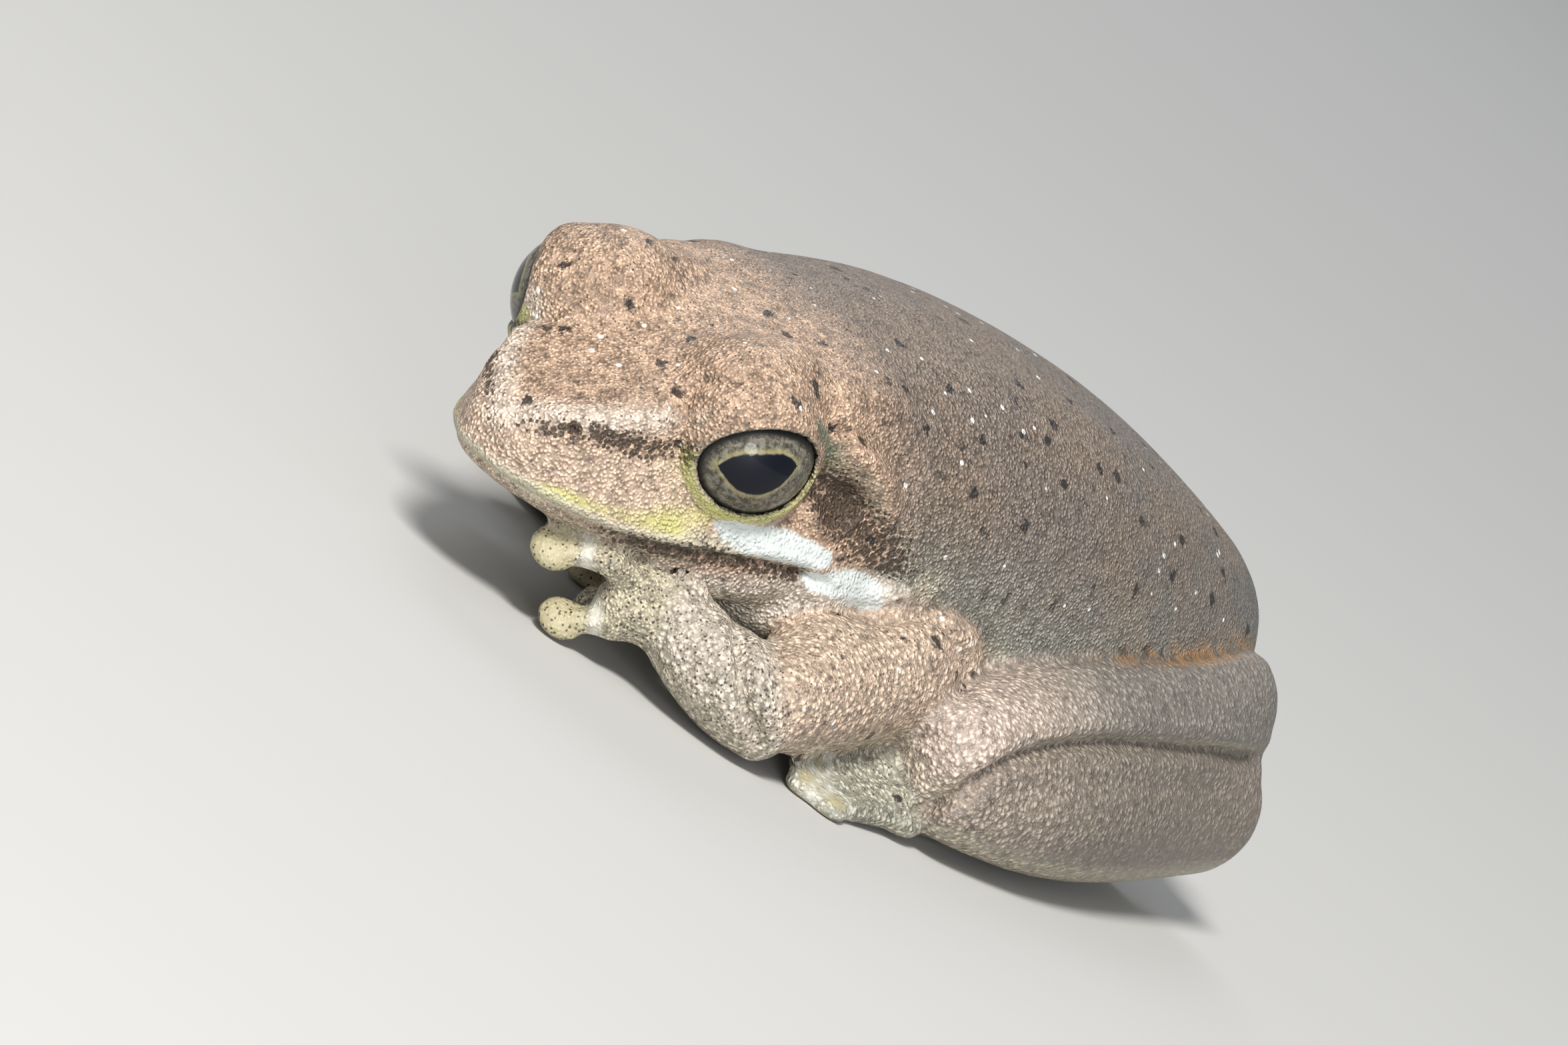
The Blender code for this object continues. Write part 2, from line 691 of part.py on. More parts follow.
def mouth_line(head):
    """A thin round cutter along the line of the mouth."""
    points = []
    for side in (1, -1):
        row = []
        for forward, _, _, _, lip, lip_up, _, _ in HEAD_SECTIONS[:-1]:
            outside = head_spot(forward, side * (lip + MOUTH_OUTWARD), lip_up)
            row.append(head.closest_point_on_mesh(outside)[1])
        points.append(row)
    path = list(reversed(points[0])) + points[1]
    return tube("groove", path, MOUTH_GROOVE)


def make_hand(name, palm, fingers):
    """A hand with four fingers."""
    pieces = [limb(name, palm, PALM_SIDES)]
    for root, knuckle, tip, disc, facing in fingers:
        pieces += digit(root, knuckle, tip, FINGER_RADIUS, disc, facing)
    return join_pieces(name, pieces)


def make_foot(name, tarsus, web, toes):
    """A foot with five toes and the web between them."""
    pieces = [limb(name, tarsus, PALM_SIDES), limb("web", web, PALM_SIDES, 1)]
    for root, knuckle, tip, disc, facing in toes:
        pieces += digit(root, knuckle, tip, TOE_RADIUS, disc, facing)
    return join_pieces(name, pieces)


def make_eye(name, eye_spot):
    """An eyeball in its socket."""
    return ball(name, head_spot(*eye_spot), (EYE_RADIUS, EYE_RADIUS, EYE_RADIUS), EYE_SEGMENTS)


# Start from an empty scene
for thing in list(bpy.data.objects):
    bpy.data.objects.remove(thing)
frog = bpy.data.collections.new("eastern_dwarf_tree_frog")
cutters = bpy.data.collections.new("cutters")
bpy.context.scene.collection.children.link(frog)
bpy.context.scene.collection.children.link(cutters)

back_skin = make_material("back_skin", (0.36, 0.25, 0.19), 0.45)
limb_skin = make_material("limb_skin", (0.48, 0.36, 0.28), 0.45)
eye_surface = make_material("eye_surface", (0.03, 0.03, 0.05), 0.08)

# Head and trunk, parted at the nape
body = make_body()
neck = head_spot(NECK_FORWARD, 0, 0)
neck_ahead = head_direction(1, 0, 0)
torso = halve(body, "torso", neck - neck_ahead * GAP, neck_ahead)
head = halve(body, "head", neck, -neck_ahead)
remove(body)
thin_out(head, HEAD_TRIANGLES)
thin_out(torso, TORSO_TRIANGLES)
torso_cutter = make_cutter(torso)
head_cutter = make_cutter(head)
make_head(head)
rest_on_floor(torso)

# Limbs, each cut clear of the pieces that it lies against
pieces = [head, torso]
left_hand_cutter = None
for side, word in ((1, "left"), (-1, "right")):
    if side == 1:
        upper_arm = limb("upper_arm_left", UPPER_ARM_LEFT, ARM_SIDES)
        forearm = limb("forearm_left", FOREARM_LEFT, ARM_SIDES)
        hand = make_hand("hand_left", PALM_LEFT, FINGERS_LEFT)
        foot = make_foot("foot_left", TARSUS_LEFT, WEB_LEFT, TOES_LEFT)
        left_hand_cutter = make_cutter(hand)
        hand_neighbours = ()
    else:
        upper_arm = limb("upper_arm_right", UPPER_ARM_RIGHT, ARM_SIDES)
        forearm = limb("forearm_right", FOREARM_RIGHT, ARM_SIDES)
        hand = make_hand("hand_right", PALM_RIGHT, FINGERS_RIGHT)
        foot = make_foot("foot_right", TARSUS_RIGHT, WEB_RIGHT, TOES_RIGHT)
        hand_neighbours = (left_hand_cutter,)
    thigh = limb("thigh_" + word, THIGH, LEG_SIDES, LIMB_STEPS, side)
    shank = limb("shank_" + word, SHANK, LEG_SIDES, LIMB_STEPS, side)
    upper_arm_cutter = make_cutter(upper_arm)
    forearm_cutter = make_cutter(forearm)
    thigh_cutter = make_cutter(thigh)
    shank_cutter = make_cutter(shank)
    for piece, neighbours in (
        (upper_arm, (torso_cutter, head_cutter)),
        (forearm, (upper_arm_cutter, torso_cutter)),
        (hand, (forearm_cutter, head_cutter, torso_cutter) + hand_neighbours),
        (thigh, (torso_cutter, upper_arm_cutter)),
        (shank, (thigh_cutter, torso_cutter, upper_arm_cutter)),
        (foot, (shank_cutter, thigh_cutter, torso_cutter, upper_arm_cutter, forearm_cutter)),
    ):
        for neighbour in neighbours:
            carve(piece, neighbour)
        rest_on_floor(piece)
        pieces.append(piece)
for cutter in list(cutters.objects):
    remove(cutter)
bpy.data.collections.remove(cutters)
for name, eye_spot in (("eye_left", EYE_SPOT_LEFT), ("eye_right", EYE_SPOT_RIGHT)):
    eye = make_eye(name, eye_spot)
    eye.data.materials.append(eye_surface)
    eye.data.shade_smooth()

for piece in pieces:
    piece.data.materials.clear()
    piece.data.materials.append(back_skin if piece in (head, torso) else limb_skin)
    piece.data.shade_smooth()
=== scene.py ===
import math

import bmesh
import bpy
import numpy as np
from mathutils import Matrix, Vector
from mathutils.bvhtree import BVHTree


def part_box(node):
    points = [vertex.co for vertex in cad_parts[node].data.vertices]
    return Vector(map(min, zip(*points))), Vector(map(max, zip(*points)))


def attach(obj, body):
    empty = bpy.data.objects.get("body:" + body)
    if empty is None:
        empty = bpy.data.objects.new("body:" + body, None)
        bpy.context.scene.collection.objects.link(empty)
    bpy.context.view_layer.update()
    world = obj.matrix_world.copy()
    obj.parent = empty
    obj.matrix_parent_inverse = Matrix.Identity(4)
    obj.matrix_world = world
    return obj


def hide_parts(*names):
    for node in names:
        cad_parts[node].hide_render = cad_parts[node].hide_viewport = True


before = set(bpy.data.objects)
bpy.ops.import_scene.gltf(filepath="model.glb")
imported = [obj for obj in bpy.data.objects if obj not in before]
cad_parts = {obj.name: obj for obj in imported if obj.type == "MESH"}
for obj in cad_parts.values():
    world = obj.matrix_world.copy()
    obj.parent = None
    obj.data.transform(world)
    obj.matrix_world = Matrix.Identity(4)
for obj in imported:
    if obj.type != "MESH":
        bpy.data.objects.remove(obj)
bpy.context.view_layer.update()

# Places below are millimetres. Head places count forward, left and up from the midpoint between the eyes,
# and body places are the model's own x, y and z, on the frog's left side.
frogFrame = {"headMiddle": (-9.195, -0.38, 5.29), "headNod": 22.3, "headTurn": 2.5}
fleshNodes = [
    "head", "torso", "upper_arm_left", "upper_arm_right", "forearm_left", "forearm_right",
    "hand_left", "hand_right", "thigh_left", "thigh_right", "shank_left", "shank_right",
    "foot_left", "foot_right",
]


def headAxes():
    nod = math.radians(frogFrame["headNod"])
    turn = math.radians(frogFrame["headTurn"])
    ahead = Vector((-math.cos(nod) * math.cos(turn), -math.cos(nod) * math.sin(turn), -math.sin(nod)))
    aside = Vector((math.sin(turn), -math.cos(turn), 0.0))
    above = Vector((-math.sin(nod) * math.cos(turn), -math.sin(nod) * math.sin(turn), math.cos(nod)))
    return ahead, aside, above


headTurnAxes = headAxes()


def headSpot(forward, left, up):
    ahead, aside, above = headTurnAxes
    return Vector(frogFrame["headMiddle"]) + ahead * forward + aside * left + above * up


def toHead(points):
    # head places of points of the model
    local = points - np.array(frogFrame["headMiddle"])
    return np.stack([local @ np.array(axis) for axis in headTurnAxes], axis=1)


# the camera, the lights and the floor
cameraView = {"place": (-0.17873, -0.12447, 0.037378), "turn": (79.1506, -34.5268, -48.7058), "lens": 237.245,
              "sensor": 36, "nearest": 0.005, "farthest": 20}


def makeCamera():
    lens = bpy.data.cameras.new("camera")
    lens.lens = cameraView["lens"]
    lens.sensor_width = cameraView["sensor"]
    lens.clip_start = cameraView["nearest"]
    lens.clip_end = cameraView["farthest"]
    camera = bpy.data.objects.new("camera", lens)
    camera.location = cameraView["place"]
    camera.rotation_euler = [math.radians(angle) for angle in cameraView["turn"]]
    bpy.context.scene.collection.objects.link(camera)
    bpy.context.scene.camera = camera


lightPlan = {
    "key": {"place": (-0.20, -0.10, 0.28), "size": 0.10, "power": 1.45, "colour": (1.0, 0.97, 0.93)},
    "fill": {"place": (-0.26, -0.28, 0.06), "size": 0.14, "power": 0.75, "colour": (0.97, 0.98, 1.0)},
    "back": {"place": (0.20, 0.25, 0.25), "size": 0.20, "power": 0.35, "colour": (0.95, 0.98, 1.0)},
    "room": {"colour": (0.93, 0.96, 1.0), "strength": 0.30},
    "aim": (-0.002, 0.0, 0.004),
}


def makeLights():
    for name in ("key", "fill", "back"):
        plan = lightPlan[name]
        lamp = bpy.data.lights.new(name, "AREA")
        lamp.shape = "DISK"
        lamp.size = plan["size"]
        lamp.energy = plan["power"]
        lamp.color = plan["colour"]
        holder = bpy.data.objects.new(name, lamp)
        holder.location = plan["place"]
        aim = Vector(lightPlan["aim"]) - Vector(plan["place"])
        holder.rotation_euler = aim.to_track_quat("-Z", "Y").to_euler()
        bpy.context.scene.collection.objects.link(holder)
    world = bpy.data.worlds.new("room")
    world.use_nodes = True
    sky = world.node_tree.nodes["Background"]
    sky.inputs["Color"].default_value = (*lightPlan["room"]["colour"], 1.0)
    sky.inputs["Strength"].default_value = lightPlan["room"]["strength"]
    bpy.context.scene.world = world
    bpy.context.scene.view_settings.view_transform = "Standard"


floorPlan = {"size": 3.0, "thickness": 0.002, "colour": (0.52, 0.52, 0.51), "roughness": 0.9}


def makeFloor():
    shape = bmesh.new()
    bmesh.ops.create_cube(shape, size=1.0)
    bmesh.ops.scale(shape, vec=(floorPlan["size"], floorPlan["size"], floorPlan["thickness"]), verts=shape.verts)
    bmesh.ops.translate(shape, vec=(0, 0, -floorPlan["thickness"] / 2 - 0.00001), verts=shape.verts)
    mesh = bpy.data.meshes.new("floor")
    shape.to_mesh(mesh)
    shape.free()
    floor = bpy.data.objects.new("floor", mesh)
    bpy.context.scene.collection.objects.link(floor)
    paint = bpy.data.materials.new("floorPaint")
    paint.use_nodes = True
    shader = paint.node_tree.nodes["Principled BSDF"]
    shader.inputs["Base Color"].default_value = (*floorPlan["colour"], 1.0)
    shader.inputs["Roughness"].default_value = floorPlan["roughness"]
    mesh.materials.append(paint)


makeCamera()
makeLights()
makeFloor()
print("camera, lights and floor placed")


# helpers for shaping the skin as arrays of points
def readPoints(mesh):
    points = np.empty(len(mesh.vertices) * 3)
    mesh.vertices.foreach_get("co", points)
    return points.reshape(-1, 3)


def readNormals(mesh):
    normals = np.empty(len(mesh.vertices) * 3)
    mesh.vertices.foreach_get("normal", normals)
    return normals.reshape(-1, 3)


def readEdges(mesh):
    edges = np.empty(len(mesh.edges) * 2, dtype=np.int64)
    mesh.edges.foreach_get("vertices", edges)
    return edges.reshape(-1, 2)


def writePoints(mesh, points):
    mesh.vertices.foreach_set("co", points.ravel())
    mesh.update()


def relax(points, edges, weights, rounds):
    # each round moves a point part of the way to the middle of its neighbours
    count = len(points)
    near = np.concatenate((edges[:, 0], edges[:, 1]))
    far = np.concatenate((edges[:, 1], edges[:, 0]))
    number = np.maximum(np.bincount(near, minlength=count), 1)
    for _ in range(rounds):
        middle = np.stack([np.bincount(near, points[far, axis], count) for axis in range(3)], axis=1)
        middle /= number[:, None]
        points = points + (middle - points) * weights[:, None]
    return points


def spread(distance, inner, outer):
    # 1 within inner, 0 past outer, smooth between
    part = np.clip((outer - distance) / (outer - inner), 0.0, 1.0)
    return part * part * (3 - 2 * part)


def ridge(distance, width):
    return np.exp(-(distance / width) ** 2)


def smoothPath(path, steps=4):
    # more places along a line, on a smooth curve through the given ones
    rows = []
    last = len(path) - 1
    for index in range(last):
        four = [np.array(path[min(max(spot, 0), last)], float) for spot in (index - 1, index, index + 1, index + 2)]
        for step in range(steps):
            part = step / steps
            rows.append(0.5 * (2 * four[1] + (four[2] - four[0]) * part
                               + (2 * four[0] - 5 * four[1] + 4 * four[2] - four[3]) * part ** 2
                               + (3 * four[1] - four[0] - 3 * four[2] + four[3]) * part ** 3))
    rows.append(np.array(path[last], float))
    return rows


def pathDistance(points, path):
    # the distance to a smooth line, how far along it as 0 to 1, and the height above it
    places = smoothPath(path)
    best = np.full(len(points), 1e9)
    along = np.zeros(len(points))
    over = np.zeros(len(points))
    steps = len(places) - 1
    for index in range(steps):
        start = places[index]
        line = places[index + 1] - start
        part = np.clip(((points - start) @ line) / max(line @ line, 1e-12), 0.0, 1.0)
        nearest = start + part[:, None] * line
        gap = np.linalg.norm(points - nearest, axis=1)
        closer = gap < best
        best[closer] = gap[closer]
        along[closer] = (index + part[closer]) / steps
        over[closer] = (points - nearest)[closer, 2]
    return best, along, over


def bothSides(points, axis=1, sign=1):
    # both halves folded onto one side
    folded = points.copy()
    folded[:, axis] = sign * np.abs(folded[:, axis])
    return folded


def nodeDistances(points, reach=1.6):
    # how far each point is from the surface of each flesh node
    rows = []
    for name in fleshNodes:
        mesh = bpy.data.objects[name].data
        places = [vert.co * 1000 for vert in mesh.vertices]
        tree = BVHTree.FromPolygons(places, [tuple(polygon.vertices) for polygon in mesh.polygons])
        low, high = np.min(places, axis=0), np.max(places, axis=0)
        row = np.linalg.norm(np.maximum(np.maximum(low - points, points - high), 0.0), axis=1)
        for index in np.nonzero(row < reach)[0]:
            row[index] = tree.find_nearest(points[index])[3]
        rows.append(row)
    return np.array(rows)


def nodeRow(distances, names):
    return np.min([distances[fleshNodes.index(name)] for name in names], axis=0)


def nodeMask(distances, names, inner=-0.10, outer=0.30):
    # 1 on the skin over the named nodes, softly ending past them
    others = [name for name in fleshNodes if name not in names]
    return spread(nodeRow(distances, names) - nodeRow(distances, others), inner, outer)


# the skin: one surface over all the flesh
skinPlan = {
    "grow": 0.22, "growHand": 0.14, "voxel": 0.158, "proud": 0.02, "mostIn": 0.34,
    "bodyRounds": 9, "fineRounds": 2, "softRounds": 14, "share": 0.5, "fineShare": 0.3, "fineSpared": 0.85,
    "seamWidth": 0.45, "seamReach": 1.0, "foldDepth": 0.21, "foldWidth": 0.20, "foldReach": 0.6,
}
softPairs = [("head", "torso")]
for word in ("left", "right"):
    softPairs += [("forearm_" + word, "hand_" + word), ("thigh_" + word, "shank_" + word),
                  ("upper_arm_" + word, "forearm_" + word), ("torso", "foot_" + word)]


def applyModifiers(thing):
    bpy.context.view_layer.update()
    graph = bpy.context.evaluated_depsgraph_get()
    mesh = bpy.data.meshes.new_from_object(thing.evaluated_get(graph))
    old = thing.data
    thing.modifiers.clear()
    thing.data = mesh
    bpy.data.meshes.remove(old)


def growFlesh():
    # copies of the flesh, each grown a little so that the gaps between them close
    shape = bmesh.new()
    for name in fleshNodes:
        grow = skinPlan["growHand"] if name.startswith(("hand", "foot")) else skinPlan["grow"]
        piece = bmesh.new()
        piece.from_mesh(bpy.data.objects[name].data)
        bmesh.ops.remove_doubles(piece, verts=piece.verts, dist=0.000001)
        piece.normal_update()
        for vert in piece.verts:
            vert.co = vert.co * 1000 + vert.normal * grow
        holder = bpy.data.meshes.new("grown")
        piece.to_mesh(holder)
        piece.free()
        shape.from_mesh(holder)
        bpy.data.meshes.remove(holder)
    mesh = bpy.data.meshes.new("frog_skin")
    shape.to_mesh(mesh)
    shape.free()
    skin = bpy.data.objects.new("frog_skin", mesh)
    bpy.context.scene.collection.objects.link(skin)
    remesh = skin.modifiers.new("remesh", "REMESH")
    remesh.mode = "VOXEL"
    remesh.voxel_size = skinPlan["voxel"]
    remesh.adaptivity = 0
    applyModifiers(skin)
    return skin


def keepOuter(mesh):
    # only the largest connected surface stays
    shape = bmesh.new()
    shape.from_mesh(mesh)
    seen = set()
    groups = []
    for first in shape.verts:
        if first in seen:
            continue
        group = [first]
        seen.add(first)
        for vert in group:
            for edge in vert.link_edges:
                other = edge.other_vert(vert)
                if other not in seen:
                    seen.add(other)
                    group.append(other)
        groups.append(group)
    groups.sort(key=len, reverse=True)
    bmesh.ops.delete(shape, geom=[vert for group in groups[1:] for vert in group], context="VERTS")
    shape.to_mesh(mesh)
    shape.free()


def refine(mesh):
    # smaller faces on the face and the near hand
    points = readPoints(mesh)
    head = toHead(points)
    wanted = (head[:, 0] > -4.9) & (head[:, 2] > -3.1) & (head[:, 2] < 1.7) & (head[:, 1] > 1.0)
    wanted |= (head[:, 0] > -1.8) & (head[:, 2] > -2.2) & (head[:, 2] < 1.7) & (head[:, 1] < -1.6)
    wanted |= (head[:, 0] > 2.6) & (head[:, 2] > -2.4)
    low, high = [np.array(corner) * 1000 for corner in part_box("hand_left")]
    wanted |= np.all((points > low - 0.2) & (points < high + 0.2), axis=1) & (points[:, 2] < 2.2)
    shape = bmesh.new()
    shape.from_mesh(mesh)
    edges = [edge for edge in shape.edges if wanted[edge.verts[0].index] and wanted[edge.verts[1].index]]
    bmesh.ops.subdivide_edges(shape, edges=edges, cuts=1, use_grid_fill=True, smooth=0.0)
    bmesh.ops.triangulate(shape, faces=[face for face in shape.faces if len(face.verts) > 4])
    shape.to_mesh(mesh)
    shape.free()


def makeSkin():
    skin = growFlesh()
    mesh = skin.data
    keepOuter(mesh)
    points = readPoints(mesh)
    writePoints(mesh, relax(points, readEdges(mesh), np.full(len(points), 0.5), 3))
    refine(mesh)
    points = readPoints(mesh)
    edges = readEdges(mesh)
    normals = readNormals(mesh)
    distances = nodeDistances(points)
    nearest = np.sort(distances, axis=0)
    points = points - normals * np.clip(nearest[0] - skinPlan["proud"], 0.0, skinPlan["mostIn"])[:, None]

    # smooth the body well and the fingers and the lids lightly
    fine = nodeMask(distances, ["hand_left", "hand_right", "foot_left", "foot_right"])
    for side in ("left", "right"):
        gap = np.linalg.norm(points - np.array(headSpot(*eyeSpots[side])), axis=1)
        fine = np.maximum(fine, spread(gap, 1.9, 2.4))
    points = relax(points, edges, skinPlan["share"] * (1 - skinPlan["fineSpared"] * fine), skinPlan["bodyRounds"])
    points = relax(points, edges, np.full(len(points), skinPlan["fineShare"]), skinPlan["fineRounds"])

    # level the joins that no fold marks
    distances = nodeDistances(points)
    closest = np.argsort(distances, axis=0)[:2]
    gaps = np.sort(distances, axis=0)
    seam = ridge(gaps[1] - gaps[0], skinPlan["seamWidth"]) * (gaps[1] < skinPlan["seamReach"])
    soft = np.zeros(len(points), bool)
    for first, second in softPairs:
        pair = (fleshNodes.index(first), fleshNodes.index(second))
        soft |= (closest[0] == pair[0]) & (closest[1] == pair[1])
        soft |= (closest[0] == pair[1]) & (closest[1] == pair[0])
    points = relax(points, edges, skinPlan["share"] * seam * soft, skinPlan["softRounds"])
    writePoints(mesh, points)

    # press the other joins in as folds
    fold = ridge(gaps[1] - gaps[0], skinPlan["foldWidth"]) * (gaps[1] < skinPlan["foldReach"]) * ~soft
    fold = relax(np.stack([fold] * 3, axis=1), edges, np.full(len(points), 0.5), 2)[:, 0]
    writePoints(mesh, points - readNormals(mesh) * (skinPlan["foldDepth"] * fold)[:, None])
    triangles = sum(len(face.vertices) - 2 for face in mesh.polygons)
    print("skin surface", len(mesh.vertices), "points,", triangles, "triangles")
    return skin, fold


# the face, the lids, the folds and the creases
eyeSpots = {"left": (-0.68, 2.48, -0.17), "right": (-0.02, -2.24, 0.30)}
eyeShape = {"radius": 1.50, "look": (0.442, 0.90, 0.038), "tilt": 4.3, "opening": (1.25, 0.975), "rim": 0.86}


def eyeAxes(side):
    # along the lids, across them and out of the eye
    sign = 1 if side == "left" else -1
    ahead, aside, above = headTurnAxes
    forward, outward, upward = eyeShape["look"]
    look = (ahead * forward + aside * (sign * outward) + above * upward).normalized()
    tilt = math.radians(eyeShape["tilt"])
    along = ahead * math.cos(tilt) - above * math.sin(tilt)
    along = (along - look * along.dot(look)).normalized()
    across = look.cross(along).normalized()
    if across.dot(above) < 0:
        across = -across
    return along, across, look


facePlan = {
    "mouth": [(4.34, 0.0, -1.46), (4.14, 0.8, -1.54), (3.4, 1.6, -1.76), (2.35, 2.25, -2.02), (1.3, 2.9, -2.14),
              (0.3, 3.36, -2.14), (-0.45, 3.62, -2.22), (-1.3, 3.86, -2.36), (-2.0, 4.02, -2.52), (-2.7, 4.1, -2.70)],
    "stripeFront": [(0.22, 3.44, -1.62), (-0.34, 3.6, -1.68), (-1.1, 3.78, -1.86),
                    (-1.81, 3.96, -2.02), (-2.45, 4.1, -2.22)],
    "stripeRear": [(-2.35, 4.12, -2.66), (-3.0, 4.2, -2.84), (-3.7, 4.22, -3.05),
                   (-4.35, 4.28, -3.26), (-4.80, 4.5, -3.22)],
    "fold": [(-2.0, 3.5, -0.30), (-2.7, 3.6, -0.38), (-3.35, 3.85, -0.68),
             (-3.85, 4.1, -1.35), (-4.3, 4.2, -2.05), (-4.75, 4.4, -2.6)],
    "canthus": [(4.14, 0.0, -0.72), (3.83, 0.54, -0.40), (3.51, 1.04, -0.20), (2.95, 1.43, -0.06),
                (2.3, 1.85, -0.14), (1.56, 2.25, -0.28), (1.15, 2.6, -0.22)],
    "ridge": [(4.0, 0.0, -0.40), (3.5, 0.8, 0.04), (2.8, 1.45, 0.27), (1.9, 1.95, 0.40), (1.2, 2.4, 0.70)],
    "greenBand": [(4.22, 0.0, -1.34), (4.05, 0.7, -1.34), (3.67, 1.34, -1.40), (3.3, 1.68, -1.44), (2.6, 2.12, -1.54),
                  (1.88, 2.56, -1.62), (1.22, 2.89, -1.58), (0.67, 3.19, -1.44), (0.3, 3.5, -1.30)],
    "teal": [(-1.55, 3.6, 0.85), (-1.95, 3.6, 0.35), (-2.15, 3.45, -0.10)],
    "darkPatch": [(-2.3, 3.5, -0.75), (-2.9, 3.8, -1.30), (-3.6, 4.0, -1.85), (-4.3, 4.2, -2.35)],
    "neck": [(-2.1, 1.7, 1.45), (-2.5, 2.5, 1.25), (-2.7, 3.0, 0.95)],
    "throat": [(0.3, 2.9, -3.2), (-0.85, 3.4, -3.4), (-1.66, 4.0, -3.7), (-2.3, 4.35, -3.6)],
    "nostril": (3.22, 1.26, -0.06), "eardrum": (-2.72, 3.78, -1.14), "eardrumRadius": 0.60,
}
bodyPlan = {
    "legCrease": [(-2.05, -7.3, 0.7), (-1.68, -7.71, 1.76), (-1.3, -7.79, 2.27), (-0.78, -7.72, 2.63),
                  (-0.02, -7.57, 2.94), (1.06, -7.39, 3.26), (2.49, -7.17, 3.55), (4.3, -6.93, 3.79),
                  (6.09, -6.65, 3.96), (7.77, -6.34, 4.09), (9.65, -5.73, 4.06), (11.0, -4.8, 3.95)],
    "legRoll": [(-0.9, -7.76, 2.02), (-0.09, -7.68, 2.50), (1.07, -7.52, 2.84), (2.4, -7.31, 3.09), (3.84, -7.08, 3.27)],
    "armCrease": [(-7.35, -4.45, 2.35), (-7.85, -5.05, 2.30), (-8.08, -5.53, 2.05), (-8.15, -6.02, 1.61),
                  (-8.0, -6.36, 1.25), (-7.6, -6.68, 0.85), (-7.1, -6.85, 0.45)],
    "armLobe": [(-4.39, -5.05, 3.34), (-3.45, -5.09, 3.87), (-2.61, -5.2, 4.18),
                (-1.91, -5.71, 3.94), (-1.24, -5.78, 3.48), (-1.76, -6.45, 3.1)],
    "flankFold": [(-2.85, -4.75, 4.41), (-2.7, -5.31, 4.14), (-1.55, -5.75, 3.8), (0.37, -5.02, 3.56)],
}


def shapeFace(skin):
    mesh = skin.data
    points = readPoints(mesh)
    head = bothSides(toHead(points))
    outward = np.zeros(len(points))

    mouth, _, overMouth = pathDistance(head, facePlan["mouth"])
    outward -= 0.12 * ridge(mouth, 0.085)
    outward += 0.06 * ridge(mouth - 0.26, 0.14) * (overMouth > 0)

    front, _, _ = pathDistance(head, facePlan["stripeFront"])
    outward += 0.08 * spread(front, 0.10, 0.40)
    rear, rearAlong, _ = pathDistance(head, facePlan["stripeRear"])
    outward += (0.12 + 0.12 * rearAlong) * spread(rear, 0.12, 0.48)

    fold, _, _ = pathDistance(head, facePlan["fold"])
    outward += 0.08 * ridge(fold, 0.24)
    canthus, _, _ = pathDistance(head, facePlan["canthus"])
    outward -= 0.05 * ridge(canthus, 0.24)
    crest, _, _ = pathDistance(head, facePlan["ridge"])
    outward += 0.07 * ridge(crest, 0.28)

    nostril = np.linalg.norm(head - np.array(facePlan["nostril"]), axis=1)
    outward += 0.06 * ridge(nostril - 0.20, 0.08) - 0.17 * ridge(nostril, 0.12)
    eardrum = np.linalg.norm((head - np.array(facePlan["eardrum"])) * (1.0, 0.5, 1.0), axis=1)
    radius = facePlan["eardrumRadius"]
    outward += 0.03 * ridge(eardrum - radius, 0.09) - 0.05 * spread(eardrum, radius - 0.25, radius)
    neck, _, _ = pathDistance(head, facePlan["neck"])
    outward += 0.20 * ridge(neck, 0.55)
    throat, _, _ = pathDistance(head, facePlan["throat"])
    outward += 0.60 * ridge(throat, 0.95) * spread(head[:, 2], -2.9, -2.4)
    outward *= spread(-head[:, 0], 5.2, 6.0)

    body = bothSides(points, 1, -1)
    crease, creaseAlong, _ = pathDistance(body, bodyPlan["legCrease"])
    outward -= 0.30 * ridge(crease, 0.16) * spread(np.abs(creaseAlong - 0.45), 0.40, 0.60)
    outward += 0.08 * ridge(crease - 0.45, 0.25)
    roll, rollAlong, _ = pathDistance(body, bodyPlan["legRoll"])
    outward -= 0.13 * ridge(roll, 0.11) * spread(np.abs(rollAlong - 0.5), 0.25, 0.5)
    arm, armAlong, _ = pathDistance(points, bodyPlan["armCrease"])
    outward -= 0.30 * ridge(arm, 0.16) * spread(np.abs(armAlong - 0.5), 0.30, 0.52)
    outward += 0.06 * ridge(arm - 0.42, 0.22)
    lobe, lobeAlong, _ = pathDistance(points, bodyPlan["armLobe"])
    outward -= 0.24 * ridge(lobe, 0.16) * spread(np.abs(lobeAlong - 0.5), 0.36, 0.52)

    points = points + readNormals(mesh) * outward[:, None]
    writePoints(mesh, points)
    fitLids(mesh)


# millimetres on the first line, then shares of the opening's half width and height
lidPlan = {
    "thin": 0.06, "thick": 0.34, "clear": 0.02, "least": 0.045, "pocket": 0.25, "reach": 2.6,
    "rimFrom": 0.75, "rimTo": 1.30, "riseFrom": 1.05, "riseOver": 0.9, "cover": 2.2, "rounds": 3,
}


def eyeOval(points, side):
    # 1 on the rim of the lids, less inside the opening, and 9 behind the eye
    along, across, look = [np.array(axis) for axis in eyeAxes(side)]
    away = points - np.array(headSpot(*eyeSpots[side]))
    wide, high = [half * eyeShape["rim"] for half in eyeShape["opening"]]
    oval = np.sqrt(((away @ along) / wide) ** 2 + ((away @ across) / high) ** 2)
    return np.where(away @ look > 0, oval, 9.0), away


